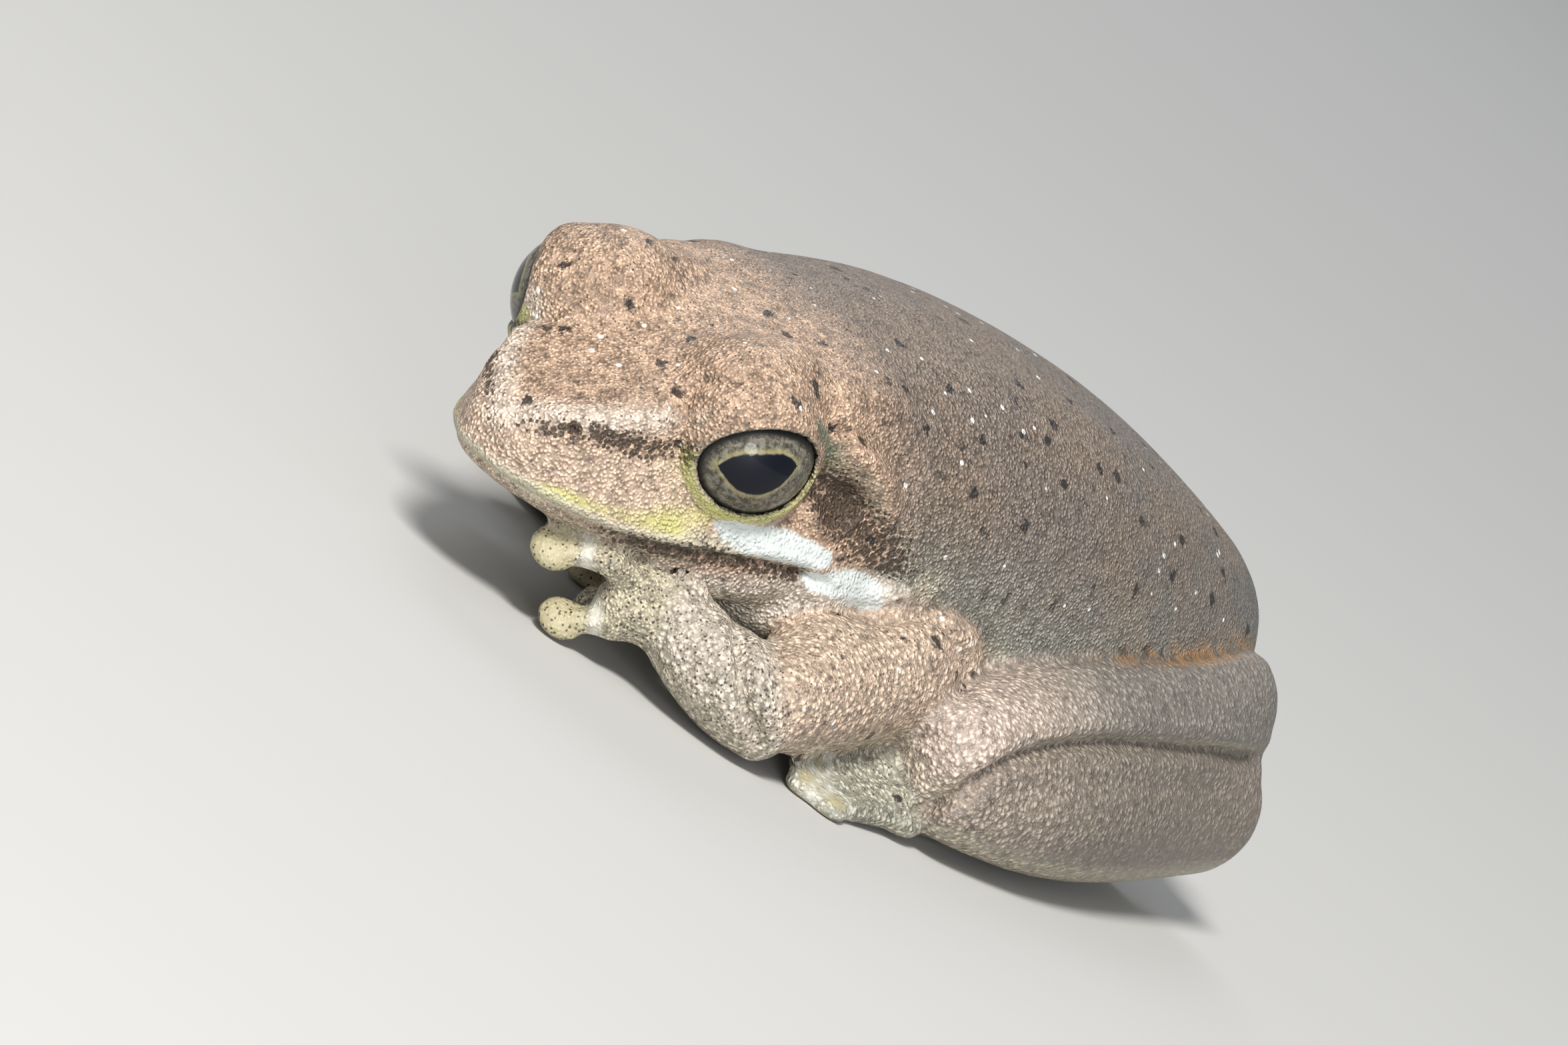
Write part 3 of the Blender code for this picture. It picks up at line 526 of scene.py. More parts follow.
def fitLids(mesh):
    # thin lids that lie on each eyeball, with an oval opening
    points = readPoints(mesh)
    edges = readEdges(mesh)
    for side in ("left", "right"):
        look = np.array(eyeAxes(side)[2])
        centre = np.array(headSpot(*eyeSpots[side]))
        radius = eyeShape["radius"]
        for step in range(lidPlan["rounds"]):
            normals = readNormals(mesh)
            oval, away = eyeOval(points, side)
            gap = np.maximum(np.linalg.norm(away, axis=1), 1e-9)
            facing = np.sum(normals * away, axis=1) / gap
            close = gap < lidPlan["reach"]
            rim = close & (oval < lidPlan["rimTo"])
            share = np.clip((oval - lidPlan["rimFrom"]) / (lidPlan["rimTo"] - lidPlan["rimFrom"]), 0.0, 1.0)
            wanted = 1.0 + (lidPlan["rimTo"] - 1.0) * share
            factor = np.where(rim, wanted / np.maximum(oval, 1e-6), 1.0)
            sideways = away - (away @ look)[:, None] * look
            sideways = sideways * factor[:, None]
            reach = np.minimum(np.linalg.norm(sideways, axis=1), gap * 0.999)
            height = np.where(rim, np.sqrt(np.maximum(gap ** 2 - reach ** 2, 0.0)), away @ look)
            away = sideways + height[:, None] * look
            gap = np.maximum(np.linalg.norm(away, axis=1), 1e-9)
            rise = np.clip((oval - lidPlan["riseFrom"]) / lidPlan["riseOver"], 0.0, 1.0)
            lid = radius + lidPlan["thin"] + (lidPlan["thick"] - lidPlan["thin"]) * rise
            covering = oval < lidPlan["cover"]
            outer = np.where(close & covering, np.minimum(gap, lid), gap)
            inner = np.full(len(points), radius + lidPlan["clear"])
            target = np.where(facing > 0, np.maximum(outer, radius + lidPlan["least"]), inner)
            target = np.where(close & (covering | (gap < radius + lidPlan["pocket"])), target, gap)
            points = centre + away * (target / gap)[:, None]
            if step < lidPlan["rounds"] - 1:
                around = spread(np.linalg.norm(points - centre, axis=1), 1.9, 2.3)
                points = relax(points, edges, 0.35 * around, 1)
            writePoints(mesh, points)


skin, seamFold = makeSkin()
shapeFace(skin)
print("face, lids and folds shaped")


# masks on the skin, each a distance rule, that the skin's finish reads
discSpots = {
    "left": [(-9.865, -2.62, 0.42, 0.50), (-10.665, -2.03, 1.55, 0.50),
             (-7.815, -1.35, 0.16, 0.42), (-6.715, -1.1, 0.13, 0.36)],
    "right": [(-3.315, 3.45, 0.17, 0.42), (-4.155, 1.62, 0.18, 0.42),
              (-4.015, 0.4, 0.17, 0.42), (-2.915, -0.2, 0.13, 0.36)],
    "toes": [(-4.915, -7.35, 0.16, 0.34), (-5.165, -6.75, 0.17, 0.34),
             (-4.615, -6.1, 0.42, 0.34), (-3.315, -5.4, 0.50, 0.32)],
}


def makeMasks(skin, seamFold):
    mesh = skin.data
    points = readPoints(mesh)
    normals = readNormals(mesh)
    head = bothSides(toHead(points))
    body = bothSides(points, 1, -1)
    distances = nodeDistances(points)
    masks = {}
    front, frontAlong, _ = pathDistance(head, facePlan["stripeFront"])
    rear, rearAlong, _ = pathDistance(head, facePlan["stripeRear"])
    frontReach = 0.62 + 0.5 * np.sin(np.pi * np.clip(0.12 + 0.8 * frontAlong, 0.0, 1.0))
    rearReach = 0.70 + 0.45 * np.sin(np.pi * np.clip(0.15 + 0.75 * rearAlong, 0.0, 1.0))
    masks["stripe"] = np.maximum(spread(front / frontReach, 0.02, 0.58), spread(rear / rearReach, 0.05, 0.62))
    green, greenAlong, _ = pathDistance(head, facePlan["greenBand"])
    greenReach = 0.17 + 0.16 * ridge(greenAlong - 0.80, 0.20)
    greenDepth = np.maximum(ridge(greenAlong - 0.85, 0.20), 0.8 * ridge(greenAlong - 0.36, 0.14))
    masks["green"] = spread(green / greenReach, 0.0, 1.9) * (0.35 + 0.65 * greenDepth)
    canthus, canthusAlong, _ = pathDistance(head, facePlan["canthus"])
    masks["canthus"] = spread(canthus / (0.10 + 0.24 * canthusAlong), 0.2, 1.6)
    # the pale canthal ridge, partly the skin's own pale band and partly painted highlight
    crest, _, _ = pathDistance(head, facePlan["ridge"])
    masks["crest"] = spread(crest, 0.05, 0.55)
    teal, _, _ = pathDistance(head, facePlan["teal"])
    masks["teal"] = spread(teal, 0.05, 0.42)
    dark, _, _ = pathDistance(head, facePlan["darkPatch"])
    masks["darkPatch"] = spread(dark, 0.20, 0.95)
    eardrum = np.linalg.norm((head - np.array(facePlan["eardrum"])) * (1.0, 0.5, 1.0), axis=1)
    masks["eardrum"] = spread(eardrum, 0.45, 0.60)
    masks["eardrumRim"] = ridge(eardrum - facePlan["eardrumRadius"], 0.07)
    mouth, mouthAlong, overMouth = pathDistance(head, facePlan["mouth"])
    # the mouth slit and the nostril pits, darkened later as painted shade
    masks["mouth"] = ridge(mouth, 0.075)
    masks["lip"] = spread(np.abs(mouth - 0.20), 0.08, 0.24) * (overMouth > 0) * spread(mouthAlong, 0.62, 0.80)
    masks["jawBand"] = spread(np.abs(mouth - 0.05), 0.10, 0.34) * spread(-mouthAlong, -0.42, -0.28)
    nostril = np.linalg.norm(head - np.array(facePlan["nostril"]), axis=1)
    masks["nostril"] = ridge(nostril, 0.12)
    ovals = [eyeOval(points, side) for side in ("left", "right")]
    oval = np.minimum(*[np.where(np.linalg.norm(away, axis=1) < 2.3, value, 9.0) for value, away in ovals])
    # the lids' inner edge against the eyeball, marked for painted shadow
    masks["lid"] = spread(oval, 1.03, 1.12)
    masks["lidRing"] = spread(oval, 1.12, 1.42)
    low = np.minimum(*[np.where((away @ np.array(headTurnAxes[2]) < 0.1), value, 9.0) for value, away in ovals])
    masks["underEye"] = ridge(low - 1.34, 0.12) * spread(-head[:, 0], 1.6, 2.2)
    masks["head"] = spread(-head[:, 0], 2.6, 5.4) * spread(-head[:, 2], 2.2, 3.0)
    masks["cheek"] = spread(-head[:, 0], -1.0, 0.6) * spread(head[:, 2], -0.55, -0.10) * spread(-head[:, 2], 1.7, 2.2)
    masks["throat"] = spread(head[:, 2], -3.0, -2.4) * nodeMask(distances, ["head"], 0.0, 1.2)
    masks["belly"] = spread(points[:, 2], 2.2, 7.0) * nodeMask(distances, ["torso"], 0.0, 0.5)
    masks["under"] = spread(normals[:, 2], -0.6, -0.1)
    hands = nodeMask(distances, ["hand_left", "hand_right"], -0.1, 0.5)
    masks["digits"] = hands
    masks["arm"] = nodeMask(distances, ["upper_arm_left", "upper_arm_right", "forearm_left", "forearm_right"], 0.0, 0.25)
    masks["forearm"] = nodeMask(distances, ["forearm_left", "forearm_right"], -0.2, 0.6)
    masks["leg"] = nodeMask(distances, ["thigh_left", "thigh_right", "shank_left", "shank_right"], 0.0, 0.25)
    masks["foot"] = nodeMask(distances, ["foot_left", "foot_right"], 0.0, 0.3)
    crease, _, overCrease = pathDistance(body, bodyPlan["legCrease"])
    masks["shank"] = masks["leg"] * spread(overCrease, -0.2, 0.3)
    armCrease, _, _ = pathDistance(points, bodyPlan["armCrease"])
    roll, _, _ = pathDistance(body, bodyPlan["legRoll"])
    lobe, _, _ = pathDistance(points, bodyPlan["armLobe"])
    flankFold, _, _ = pathDistance(points, bodyPlan["flankFold"])
    masks["flankFold"] = spread(flankFold, 0.15, 0.75)
    # where painted shade goes into the folds and joins
    masks["crease"] = np.maximum.reduce([
        seamFold, ridge(crease, 0.15), 0.8 * ridge(armCrease, 0.12), 0.9 * ridge(lobe, 0.13), 0.6 * ridge(roll, 0.09),
    ])
    groin = nodeRow(distances, ["torso"]) - nodeRow(distances, ["thigh_left", "thigh_right"])
    hindmost = spread(-points[:, 0], -5.5, -2.5) * (nodeRow(distances, ["torso"]) < 0.7)
    masks["groin"] = ridge(groin, 0.28) * hindmost
    # the groin fold line, for painted shade
    masks["groinCreaseShade"] = ridge(groin, 0.13) * hindmost
    masks["rearward"] = np.clip((points[:, 0] + 3.5) / 13.0, 0.0, 1.0)
    disc = np.zeros(len(points))
    neck = np.zeros(len(points))
    for x, y, z, radius in sum(discSpots.values(), []):
        gap = np.linalg.norm(points - np.array((x, y, z)), axis=1) / radius
        disc = np.maximum(disc, spread(gap, 0.95, 1.25))
        neck = np.maximum(neck, ridge(gap - 1.55, 0.28))
    masks["disc"] = disc
    masks["neck"] = neck * np.maximum(hands, masks["foot"])
    for name, values in masks.items():
        layer = mesh.attributes.new(name, "FLOAT", "POINT")
        layer.data.foreach_set("value", np.clip(values, 0.0, 1.0).astype(np.float32))
    print("skin masks", len(masks))


makeMasks(skin, seamFold)


# node helpers
def newMaterial(name):
    material = bpy.data.materials.new(name)
    material.use_nodes = True
    return material, material.node_tree, material.node_tree.nodes["Principled BSDF"]


def addNode(tree, kind, **values):
    node = tree.nodes.new(kind)
    for key, value in values.items():
        setattr(node, key, value)
    return node


def mathNode(tree, operation, first, second=None, third=None, clamp=False):
    node = addNode(tree, "ShaderNodeMath", operation=operation, use_clamp=clamp)
    for index, value in enumerate((first, second, third)):
        if isinstance(value, (int, float)):
            node.inputs[index].default_value = value
        elif value is not None:
            tree.links.new(value, node.inputs[index])
    return node.outputs[0]


def mixColour(tree, factor, first, second, blend="MIX"):
    node = addNode(tree, "ShaderNodeMix", data_type="RGBA", blend_type=blend)
    for socket, value in ((node.inputs[0], factor), (node.inputs[6], first), (node.inputs[7], second)):
        if isinstance(value, (int, float)):
            socket.default_value = value
        elif isinstance(value, tuple):
            socket.default_value = (*value, 1.0)
        else:
            tree.links.new(value, socket)
    return node.outputs[2]


def rangeNode(tree, value, low, high, toLow=0.0, toHigh=1.0):
    node = addNode(tree, "ShaderNodeMapRange", interpolation_type="SMOOTHSTEP")
    tree.links.new(value, node.inputs["Value"])
    for name, number in (("From Min", low), ("From Max", high), ("To Min", toLow), ("To Max", toHigh)):
        node.inputs[name].default_value = number
    return node.outputs["Result"]


def noiseNode(tree, vector, scale, detail=2.0, roughness=0.5, distortion=0.0):
    node = addNode(tree, "ShaderNodeTexNoise")
    tree.links.new(vector, node.inputs["Vector"])
    for name, number in (("Scale", scale), ("Detail", detail), ("Roughness", roughness), ("Distortion", distortion)):
        node.inputs[name].default_value = number
    return node.outputs["Fac"]


def cellNode(tree, vector, scale, feature="F1"):
    node = addNode(tree, "ShaderNodeTexVoronoi", feature=feature)
    tree.links.new(vector, node.inputs["Vector"])
    node.inputs["Scale"].default_value = scale
    return node


def millimetres(tree):
    # object coordinates counted in millimetres
    place = addNode(tree, "ShaderNodeTexCoord")
    scale = addNode(tree, "ShaderNodeMapping")
    scale.inputs["Scale"].default_value = (1000, 1000, 1000)
    tree.links.new(place.outputs["Object"], scale.inputs["Vector"])
    return scale.outputs["Vector"]


# the skin's finish
skinColours = {
    "headTop": (0.62, 0.43, 0.305), "headShade": (0.42, 0.29, 0.20), "nape": (0.27, 0.20, 0.145),
    "back": (0.24, 0.19, 0.155),
    # the back's rear colour is darker partly from its own tone and partly as painted shade
    "backRearToneAndShade": (0.165, 0.16, 0.15), "flank": (0.34, 0.37, 0.33), "cream": (0.62, 0.56, 0.42), "cheek": (0.66, 0.49, 0.37),
    "throat": (0.62, 0.54, 0.46), "arm": (0.60, 0.46, 0.35), "forearm": (0.58, 0.51, 0.42), "digits": (0.54, 0.48, 0.35),
    # the rear leg colour and the shank colour are darker partly from their own tone and partly as painted shade
    "disc": (0.43, 0.385, 0.24), "neck": (0.58, 0.58, 0.51), "legFront": (0.60, 0.49, 0.41), "legRearToneAndShade": (0.22, 0.20, 0.175),
    "shank": (0.25, 0.21, 0.17), "foot": (0.42, 0.41, 0.33), "stripe": (0.60, 0.645, 0.625), "green": (0.52, 0.55, 0.14),
    # the pale crest colour is partly the skin's own pale band and partly painted highlight
    "crest": (0.86, 0.72, 0.60),
    "lip": (0.60, 0.57, 0.44), "teal": (0.045, 0.10, 0.07), "dark": (0.030, 0.020, 0.012), "dot": (0.015, 0.013, 0.013),
    # the near-black lid colour is painted shadow on the lids' inner edge; the lid ring is the lid margin's own grey
    "lidRing": (0.13, 0.14, 0.12), "lid": (0.015, 0.015, 0.015), "groin": (0.55, 0.24, 0.03),
    # the crease colour is painted shade for the folds, the joins and the groin fold
    "crease": (0.10, 0.075, 0.055),
    "eardrum": (0.26, 0.17, 0.115), "speck": (0.85, 0.87, 0.85),
}


def pigmentGroup():
    # fine dark dots of pigment, thicker where Amount is more
    group = bpy.data.node_groups.new("pigmentDots", "ShaderNodeTree")
    group.interface.new_socket("Vector", in_out="INPUT", socket_type="NodeSocketVector")
    group.interface.new_socket("Scale", in_out="INPUT", socket_type="NodeSocketFloat")
    group.interface.new_socket("Amount", in_out="INPUT", socket_type="NodeSocketFloat")
    group.interface.new_socket("Dots", in_out="OUTPUT", socket_type="NodeSocketFloat")
    start = group.nodes.new("NodeGroupInput")
    end = group.nodes.new("NodeGroupOutput")
    cells = cellNode(group, start.outputs["Vector"], 9.0)
    group.links.new(start.outputs["Scale"], cells.inputs["Scale"])
    grain = noiseNode(group, start.outputs["Vector"], 17.0, 2.0, 0.6)
    reach = mathNode(group, "MULTIPLY_ADD", start.outputs["Amount"], 0.62, -0.02)
    loose = mathNode(group, "MULTIPLY_ADD", grain, 0.50, -0.25)
    dots = mathNode(group, "SUBTRACT", reach, mathNode(group, "ADD", cells.outputs["Distance"], loose))
    group.links.new(rangeNode(group, dots, -0.07, 0.07), end.inputs["Dots"])
    return group


def granuleGroup():
    # the small round granules of the skin, as a height from 0 to 1
    group = bpy.data.node_groups.new("skinGranules", "ShaderNodeTree")
    group.interface.new_socket("Vector", in_out="INPUT", socket_type="NodeSocketVector")
    group.interface.new_socket("Scale", in_out="INPUT", socket_type="NodeSocketFloat")
    group.interface.new_socket("Height", in_out="OUTPUT", socket_type="NodeSocketFloat")
    start = group.nodes.new("NodeGroupInput")
    end = group.nodes.new("NodeGroupOutput")
    large = cellNode(group, start.outputs["Vector"], 6.0)
    group.links.new(start.outputs["Scale"], large.inputs["Scale"])
    small = cellNode(group, start.outputs["Vector"], 13.0)
    rounds = rangeNode(group, large.outputs["Distance"], 0.62, 0.05)
    fines = rangeNode(group, small.outputs["Distance"], 0.62, 0.10)
    uneven = noiseNode(group, start.outputs["Vector"], 3.0, 3.0, 0.6)
    height = mathNode(group, "MULTIPLY_ADD", rounds, 0.55, mathNode(group, "MULTIPLY", fines, 0.25))
    group.links.new(mathNode(group, "MULTIPLY_ADD", uneven, 0.4, height), end.inputs["Height"])
    return group


def makeSkinFinish():
    material, tree, shader = newMaterial("frog_skin_finish")
    colours = skinColours
    place = millimetres(tree)
    masks = {}
    for layer in skin.data.attributes:
        if layer.data_type == "FLOAT" and layer.domain == "POINT" and not layer.name.startswith("."):
            masks[layer.name] = addNode(tree, "ShaderNodeAttribute", attribute_name=layer.name).outputs["Fac"]
    broad = noiseNode(tree, place, 0.40, 3.0, 0.55)
    patch = noiseNode(tree, place, 1.5, 4.0, 0.62)
    fine = noiseNode(tree, place, 6.0, 3.0, 0.65)
    coarseness = mathNode(tree, "MAXIMUM", masks["arm"], mathNode(tree, "MAXIMUM", masks["leg"], masks["foot"]))
    group = granuleGroup()
    heights = []
    for scale in (10.0, 6.5):
        granules = addNode(tree, "ShaderNodeGroup", node_tree=group)
        granules.inputs["Scale"].default_value = scale
        tree.links.new(place, granules.inputs["Vector"])
        heights.append(granules.outputs["Height"])
    rise = mathNode(tree, "SUBTRACT", heights[1], heights[0])
    height = mathNode(tree, "MULTIPLY_ADD", rise, coarseness, heights[0])

    def paint(under, mask, colour, strength=1.0):
        factor = masks[mask] if isinstance(mask, str) else mask
        if strength != 1.0:
            factor = mathNode(tree, "MULTIPLY", factor, strength)
        return mixColour(tree, factor, under, colours[colour])

    def ragged(mask, low, high, amount=0.7):
        # the mask with an uneven edge
        wander = mathNode(tree, "MULTIPLY_ADD", fine, amount, mathNode(tree, "MULTIPLY_ADD", patch, amount, -amount))
        return rangeNode(tree, mathNode(tree, "ADD", masks[mask], wander), low, high)

    # back, flanks and head
    # the back darkens towards the rear, partly its own tone and partly painted shade where it turns from the light
    ground = mixColour(tree, masks["rearward"], colours["back"], colours["backRearToneAndShade"])
    ground = mixColour(tree, rangeNode(tree, broad, 0.38, 0.62, 0.0, 0.55), ground, colours["nape"])
    ground = paint(ground, "belly", "flank")
    headTone = mixColour(tree, rangeNode(tree, patch, 0.34, 0.66), colours["headShade"], colours["headTop"])
    ground = mixColour(tree, masks["head"], ground, headTone)
    ground = paint(ground, "cheek", "cheek")
    # pale along the canthal ridge, partly the skin's own tone and partly painted highlight
    ground = paint(ground, "crest", "crest", 0.7)
    ground = paint(ground, "throat", "throat")
    ground = paint(ground, "flankFold", "cream", 0.65)

    # limbs
    ground = paint(ground, "arm", "arm")
    ground = paint(ground, "forearm", "forearm")
    # the legs darken from front to rear, partly their own tone and partly painted shade on the side turned from the
    # light
    legToneAndShade = mixColour(tree, rangeNode(tree, masks["rearward"], 0.10, 0.62), colours["legFront"], colours["legRearToneAndShade"])
    ground = mixColour(tree, masks["leg"], ground, legToneAndShade)
    # the shank under the thigh is darker, partly its own tone and partly painted shade
    ground = paint(ground, "shank", "shank", 0.75)
    ground = paint(ground, "foot", "foot")
    ground = paint(ground, "digits", "digits")
    ground = paint(ground, "under", "cream", 0.5)
    ground = paint(ground, "disc", "disc")
    ground = paint(ground, "neck", "neck", 0.85)

    # granule tops are painted pale, partly their own paler tone and partly painted highlight, and the hollows between
    # them dark as painted shade
    granuleLightAndShade = mathNode(tree, "MULTIPLY_ADD", height, 1.6, 0.20)
    granuleLightAndShade = mathNode(tree, "MULTIPLY_ADD", mathNode(tree, "SUBTRACT", fine, 0.5), 1.2, granuleLightAndShade)
    smooth = mathNode(tree, "MAXIMUM", masks["stripe"], mathNode(tree, "MAXIMUM", masks["disc"], masks["neck"]))
    smooth = mathNode(tree, "MAXIMUM", smooth, mathNode(tree, "MULTIPLY", masks["rearward"], 0.45))
    grainy = mathNode(tree, "SUBTRACT", 1.0, mathNode(tree, "MULTIPLY", smooth, 0.85))
    ground = mixColour(tree, grainy, ground, granuleLightAndShade, "MULTIPLY")

    # markings of the face
    ground = paint(ground, "eardrum", "eardrum", 0.8)
    ground = paint(ground, "teal", "teal", 0.75)
    ground = paint(ground, ragged("green", 0.05, 0.95, 0.35), "green", 0.75)
    ground = paint(ground, "underEye", "green", 0.7)
    ground = paint(ground, ragged("lip", 0.1, 0.8, 0.4), "lip", 0.6)
    ground = paint(ground, ragged("stripe", 0.30, 0.62, 0.40), "stripe")
    ground = paint(ground, mathNode(tree, "MULTIPLY", masks["groin"], rangeNode(tree, patch, 0.42, 0.55)), "groin", 0.75)
    # painted shade along the groin fold
    ground = paint(ground, "groinCreaseShade", "crease", 0.8)

    # pigment dots, thick in the dark patches and thin on the stripe
    amount = mathNode(tree, "MULTIPLY_ADD", patch, 0.45, 0.10)
    for name, strength in (("darkPatch", 0.75), ("canthus", 0.95), ("jawBand", 0.85), ("eardrum", 0.30),
                           ("digits", 0.15), ("forearm", 0.10), ("throat", -0.05), ("stripe", -1.5),
                           ("cheek", -0.22), ("green", -0.25), ("neck", -0.6), ("leg", -0.25)):
        amount = mathNode(tree, "MULTIPLY_ADD", masks[name], strength, amount)
    dots = addNode(tree, "ShaderNodeGroup", node_tree=pigmentGroup())
    dots.inputs["Scale"].default_value = 9.0
    tree.links.new(place, dots.inputs["Vector"])
    tree.links.new(mathNode(tree, "MAXIMUM", amount, 0.0), dots.inputs["Amount"])
    colour = mixColour(tree, mathNode(tree, "MULTIPLY", dots.outputs["Dots"], 0.85), ground, colours["dark"])

    # larger dark flecks of uneven outline, and tiny white specks
    above = mathNode(tree, "MAXIMUM", masks["leg"], mathNode(tree, "MAXIMUM", masks["belly"], masks["stripe"]))
    above = mathNode(tree, "MAXIMUM", above, mathNode(tree, "MAXIMUM", masks["throat"], masks["cheek"]))
    above = mathNode(tree, "MAXIMUM", above, mathNode(tree, "MAXIMUM", masks["forearm"], masks["digits"]))
    above = mathNode(tree, "SUBTRACT", 1.0, above, clamp=True)
    flecks = cellNode(tree, place, 1.3)
    chosen = addNode(tree, "ShaderNodeSeparateColor")
    tree.links.new(flecks.outputs["Color"], chosen.inputs["Color"])
    edge = mathNode(tree, "MULTIPLY_ADD", fine, 0.55, -0.275)
    fleck = rangeNode(tree, mathNode(tree, "ADD", flecks.outputs["Distance"], edge), 0.24, 0.14)
    fleck = mathNode(tree, "MULTIPLY", fleck, mathNode(tree, "GREATER_THAN", chosen.outputs["Red"], 0.35))
    fleck = mathNode(tree, "MULTIPLY", mathNode(tree, "MULTIPLY", fleck, above), 0.9)
    colour = mixColour(tree, fleck, colour, colours["dot"])
    specks = cellNode(tree, place, 1.5)
    speck = rangeNode(tree, specks.outputs["Distance"], 0.105, 0.080)
    colour = mixColour(tree, mathNode(tree, "MULTIPLY", speck, above), colour, colours["speck"])

    # painted shade in the creases, the mouth slit and the nostrils, the eardrum's dark rim, the lid margin's grey and
    # painted shadow on the lids' inner edge
    colour = paint(colour, "crease", "crease", 0.55)
    # painted shade in the mouth slit and the nostril pits
    colour = paint(colour, "mouth", "dark", 0.75)
    colour = paint(colour, "nostril", "dark", 0.85)
    colour = paint(colour, "eardrumRim", "dark", 0.6)
    colour = paint(colour, "lidRing", "lidRing", 0.65)
    # painted shadow on the lids' inner edge where they meet the eyeball
    colour = paint(colour, "lid", "lid", 0.9)
    tree.links.new(colour, shader.inputs["Base Color"])

    bump = addNode(tree, "ShaderNodeBump")
    bump.inputs["Strength"].default_value = 0.9
    bump.inputs["Distance"].default_value = 0.00010
    rough = mathNode(tree, "SUBTRACT", 1.0, mathNode(tree, "MULTIPLY", smooth, 0.7))
    tree.links.new(mathNode(tree, "MULTIPLY", height, rough), bump.inputs["Height"])
    tree.links.new(bump.outputs["Normal"], shader.inputs["Normal"])
    tree.links.new(mathNode(tree, "MULTIPLY_ADD", fine, 0.30, 0.32), shader.inputs["Roughness"])
    shader.inputs["Specular IOR Level"].default_value = 0.45
    return material


skin.data.materials.clear()
skin.data.materials.append(makeSkinFinish())
print("skin finished")


# the eyes
eyePlan = {
    "pupil": (0.002, 0.003, 0.008), "iris": (0.20, 0.19, 0.15), "irisDark": (0.045, 0.038, 0.028),
    "gold": (0.42, 0.38, 0.17),
    # the near-black rim colour is painted shadow at the eyeball's edge under the lids
    "rim": (0.010, 0.010, 0.010), "pupilWide": 0.82, "pupilTop": 0.36, "pupilBottom": 0.55,
    "centre": (0.13, 0.20), "slant": 6.0,
}


def makeEye(side):
    # a ball whose front is slightly raised, turned to look out between the lids
    along, across, look = eyeAxes(side)
    shape = bmesh.new()
    bmesh.ops.create_uvsphere(shape, u_segments=96, v_segments=64, radius=eyeShape["radius"])
    for vert in shape.verts:
        vert.co *= 1 + 0.015 * max(vert.co.z / eyeShape["radius"], 0.0) ** 4
    turn = Matrix((along, across, look)).transposed()
    centre = headSpot(*eyeSpots[side])
    for vert in shape.verts:
        vert.co = (centre + turn @ vert.co) / 1000
    bmesh.ops.recalc_face_normals(shape, faces=shape.faces)
    for face in shape.faces:
        face.smooth = True
    mesh = bpy.data.meshes.new("eye_" + side + "_ball")
    shape.to_mesh(mesh)
    shape.free()
    eye = bpy.data.objects.new("eye_" + side + "_ball", mesh)
    bpy.context.scene.collection.objects.link(eye)
    mesh.materials.append(makeEyeFinish(side, centre, turn))
    return eye


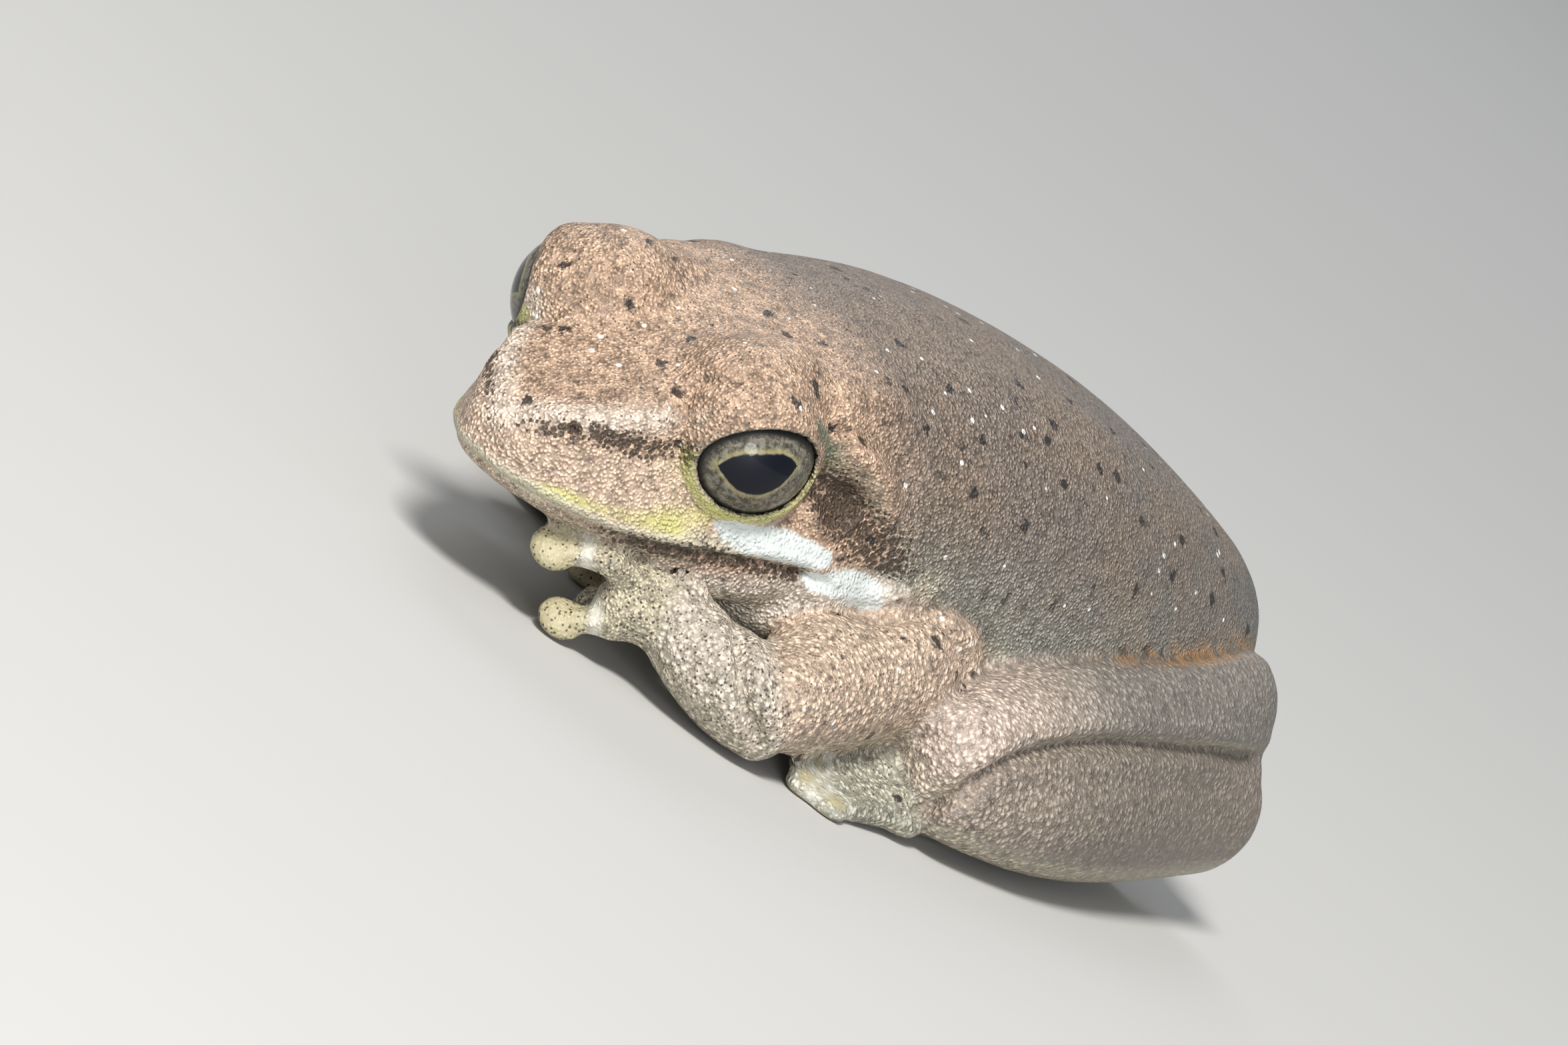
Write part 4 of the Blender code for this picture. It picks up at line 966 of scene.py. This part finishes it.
def makeEyeFinish(side, centre, turn):
    material, tree, shader = newMaterial("eye_" + side + "_finish")
    place = addNode(tree, "ShaderNodeTexCoord")
    local = addNode(tree, "ShaderNodeMapping", vector_type="TEXTURE")  # millimetres along, across and out of the eye
    local.inputs["Location"].default_value = centre / 1000
    if turn.determinant() < 0:
        turn = turn @ Matrix.Diagonal((-1, 1, 1))
    local.inputs["Rotation"].default_value = turn.to_euler()
    local.inputs["Scale"].default_value = (0.001, 0.001, 0.001)
    tree.links.new(place.outputs["Object"], local.inputs["Vector"])
    parts = addNode(tree, "ShaderNodeSeparateXYZ")
    tree.links.new(local.outputs["Vector"], parts.inputs["Vector"])
    ahead = -1 if eyeAxes(side)[0].dot(turn.col[0]) < 0 else 1
    slant = math.radians(eyePlan["slant"])
    x = mathNode(tree, "MULTIPLY_ADD", parts.outputs["X"], ahead, -eyePlan["centre"][0])
    y = mathNode(tree, "SUBTRACT", parts.outputs["Y"], eyePlan["centre"][1])
    y = mathNode(tree, "MULTIPLY_ADD", x, math.tan(slant), y)
    share = mathNode(tree, "DIVIDE", mathNode(tree, "ABSOLUTE", x), eyePlan["pupilWide"])
    inner = mathNode(tree, "SUBTRACT", 1.0, mathNode(tree, "POWER", share, 3.4), clamp=True)
    roof = mathNode(tree, "MULTIPLY", inner, eyePlan["pupilTop"])
    keel = mathNode(tree, "SUBTRACT", 1.0, mathNode(tree, "POWER", share, 2.1), clamp=True)
    keel = mathNode(tree, "MULTIPLY", keel, -eyePlan["pupilBottom"])
    edge = mathNode(tree, "MAXIMUM", mathNode(tree, "SUBTRACT", y, roof), mathNode(tree, "SUBTRACT", keel, y))
    ends = mathNode(tree, "MULTIPLY_ADD", share, eyePlan["pupilWide"], -eyePlan["pupilWide"])
    edge = mathNode(tree, "MAXIMUM", edge, ends)
    wander = noiseNode(tree, local.outputs["Vector"], 5.0, 2.0, 0.5)
    edge = mathNode(tree, "ADD", edge, mathNode(tree, "MULTIPLY_ADD", wander, 0.05, -0.025))
    pupil = rangeNode(tree, edge, 0.02, -0.02)
    ring = mathNode(tree, "MULTIPLY", rangeNode(tree, edge, 0.0, 0.03), rangeNode(tree, edge, 0.15, 0.05))
    mottled = noiseNode(tree, local.outputs["Vector"], 8.0, 5.0, 0.7, 0.6)
    veins = cellNode(tree, local.outputs["Vector"], 6.0, "DISTANCE_TO_EDGE")
    iris = mixColour(tree, rangeNode(tree, mottled, 0.38, 0.64), eyePlan["irisDark"], eyePlan["iris"])
    iris = mixColour(tree, rangeNode(tree, veins.outputs["Distance"], 0.06, 0.0, 0.0, 0.5), iris, eyePlan["irisDark"])
    wide, high = eyeShape["opening"]
    acrossShare = mathNode(tree, "DIVIDE", parts.outputs["Y"], high)
    alongShare = mathNode(tree, "DIVIDE", parts.outputs["X"], wide)
    alongSquare = mathNode(tree, "MULTIPLY", alongShare, alongShare)
    oval = mathNode(tree, "SQRT", mathNode(tree, "MULTIPLY_ADD", acrossShare, acrossShare, alongSquare))
    # the eyeball's edge under the lids is painted near-black as painted shadow
    iris = mixColour(tree, rangeNode(tree, oval, 0.86, 0.97), iris, eyePlan["rim"])
    colour = mixColour(tree, mathNode(tree, "MULTIPLY", ring, 0.4), iris, eyePlan["gold"])
    colour = mixColour(tree, pupil, colour, eyePlan["pupil"])
    tree.links.new(colour, shader.inputs["Base Color"])
    shader.inputs["Roughness"].default_value = 0.45
    shader.inputs["Specular IOR Level"].default_value = 0.15
    shader.inputs["Coat Weight"].default_value = 0.8
    shader.inputs["Coat IOR"].default_value = 1.3
    shader.inputs["Coat Roughness"].default_value = 0.03
    return material


eyes = {side: makeEye(side) for side in ("left", "right")}
print("eyes set in their lids")

# hand everything to the frame
points = readPoints(skin.data)
points[:, 2] = np.maximum(points[:, 2], 0.0)
writePoints(skin.data, points / 1000)
for polygon in skin.data.polygons:
    polygon.use_smooth = True
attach(skin, "root")
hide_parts(*fleshNodes)
for side, eye in eyes.items():
    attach(eye, "root")
    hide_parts("eye_" + side)
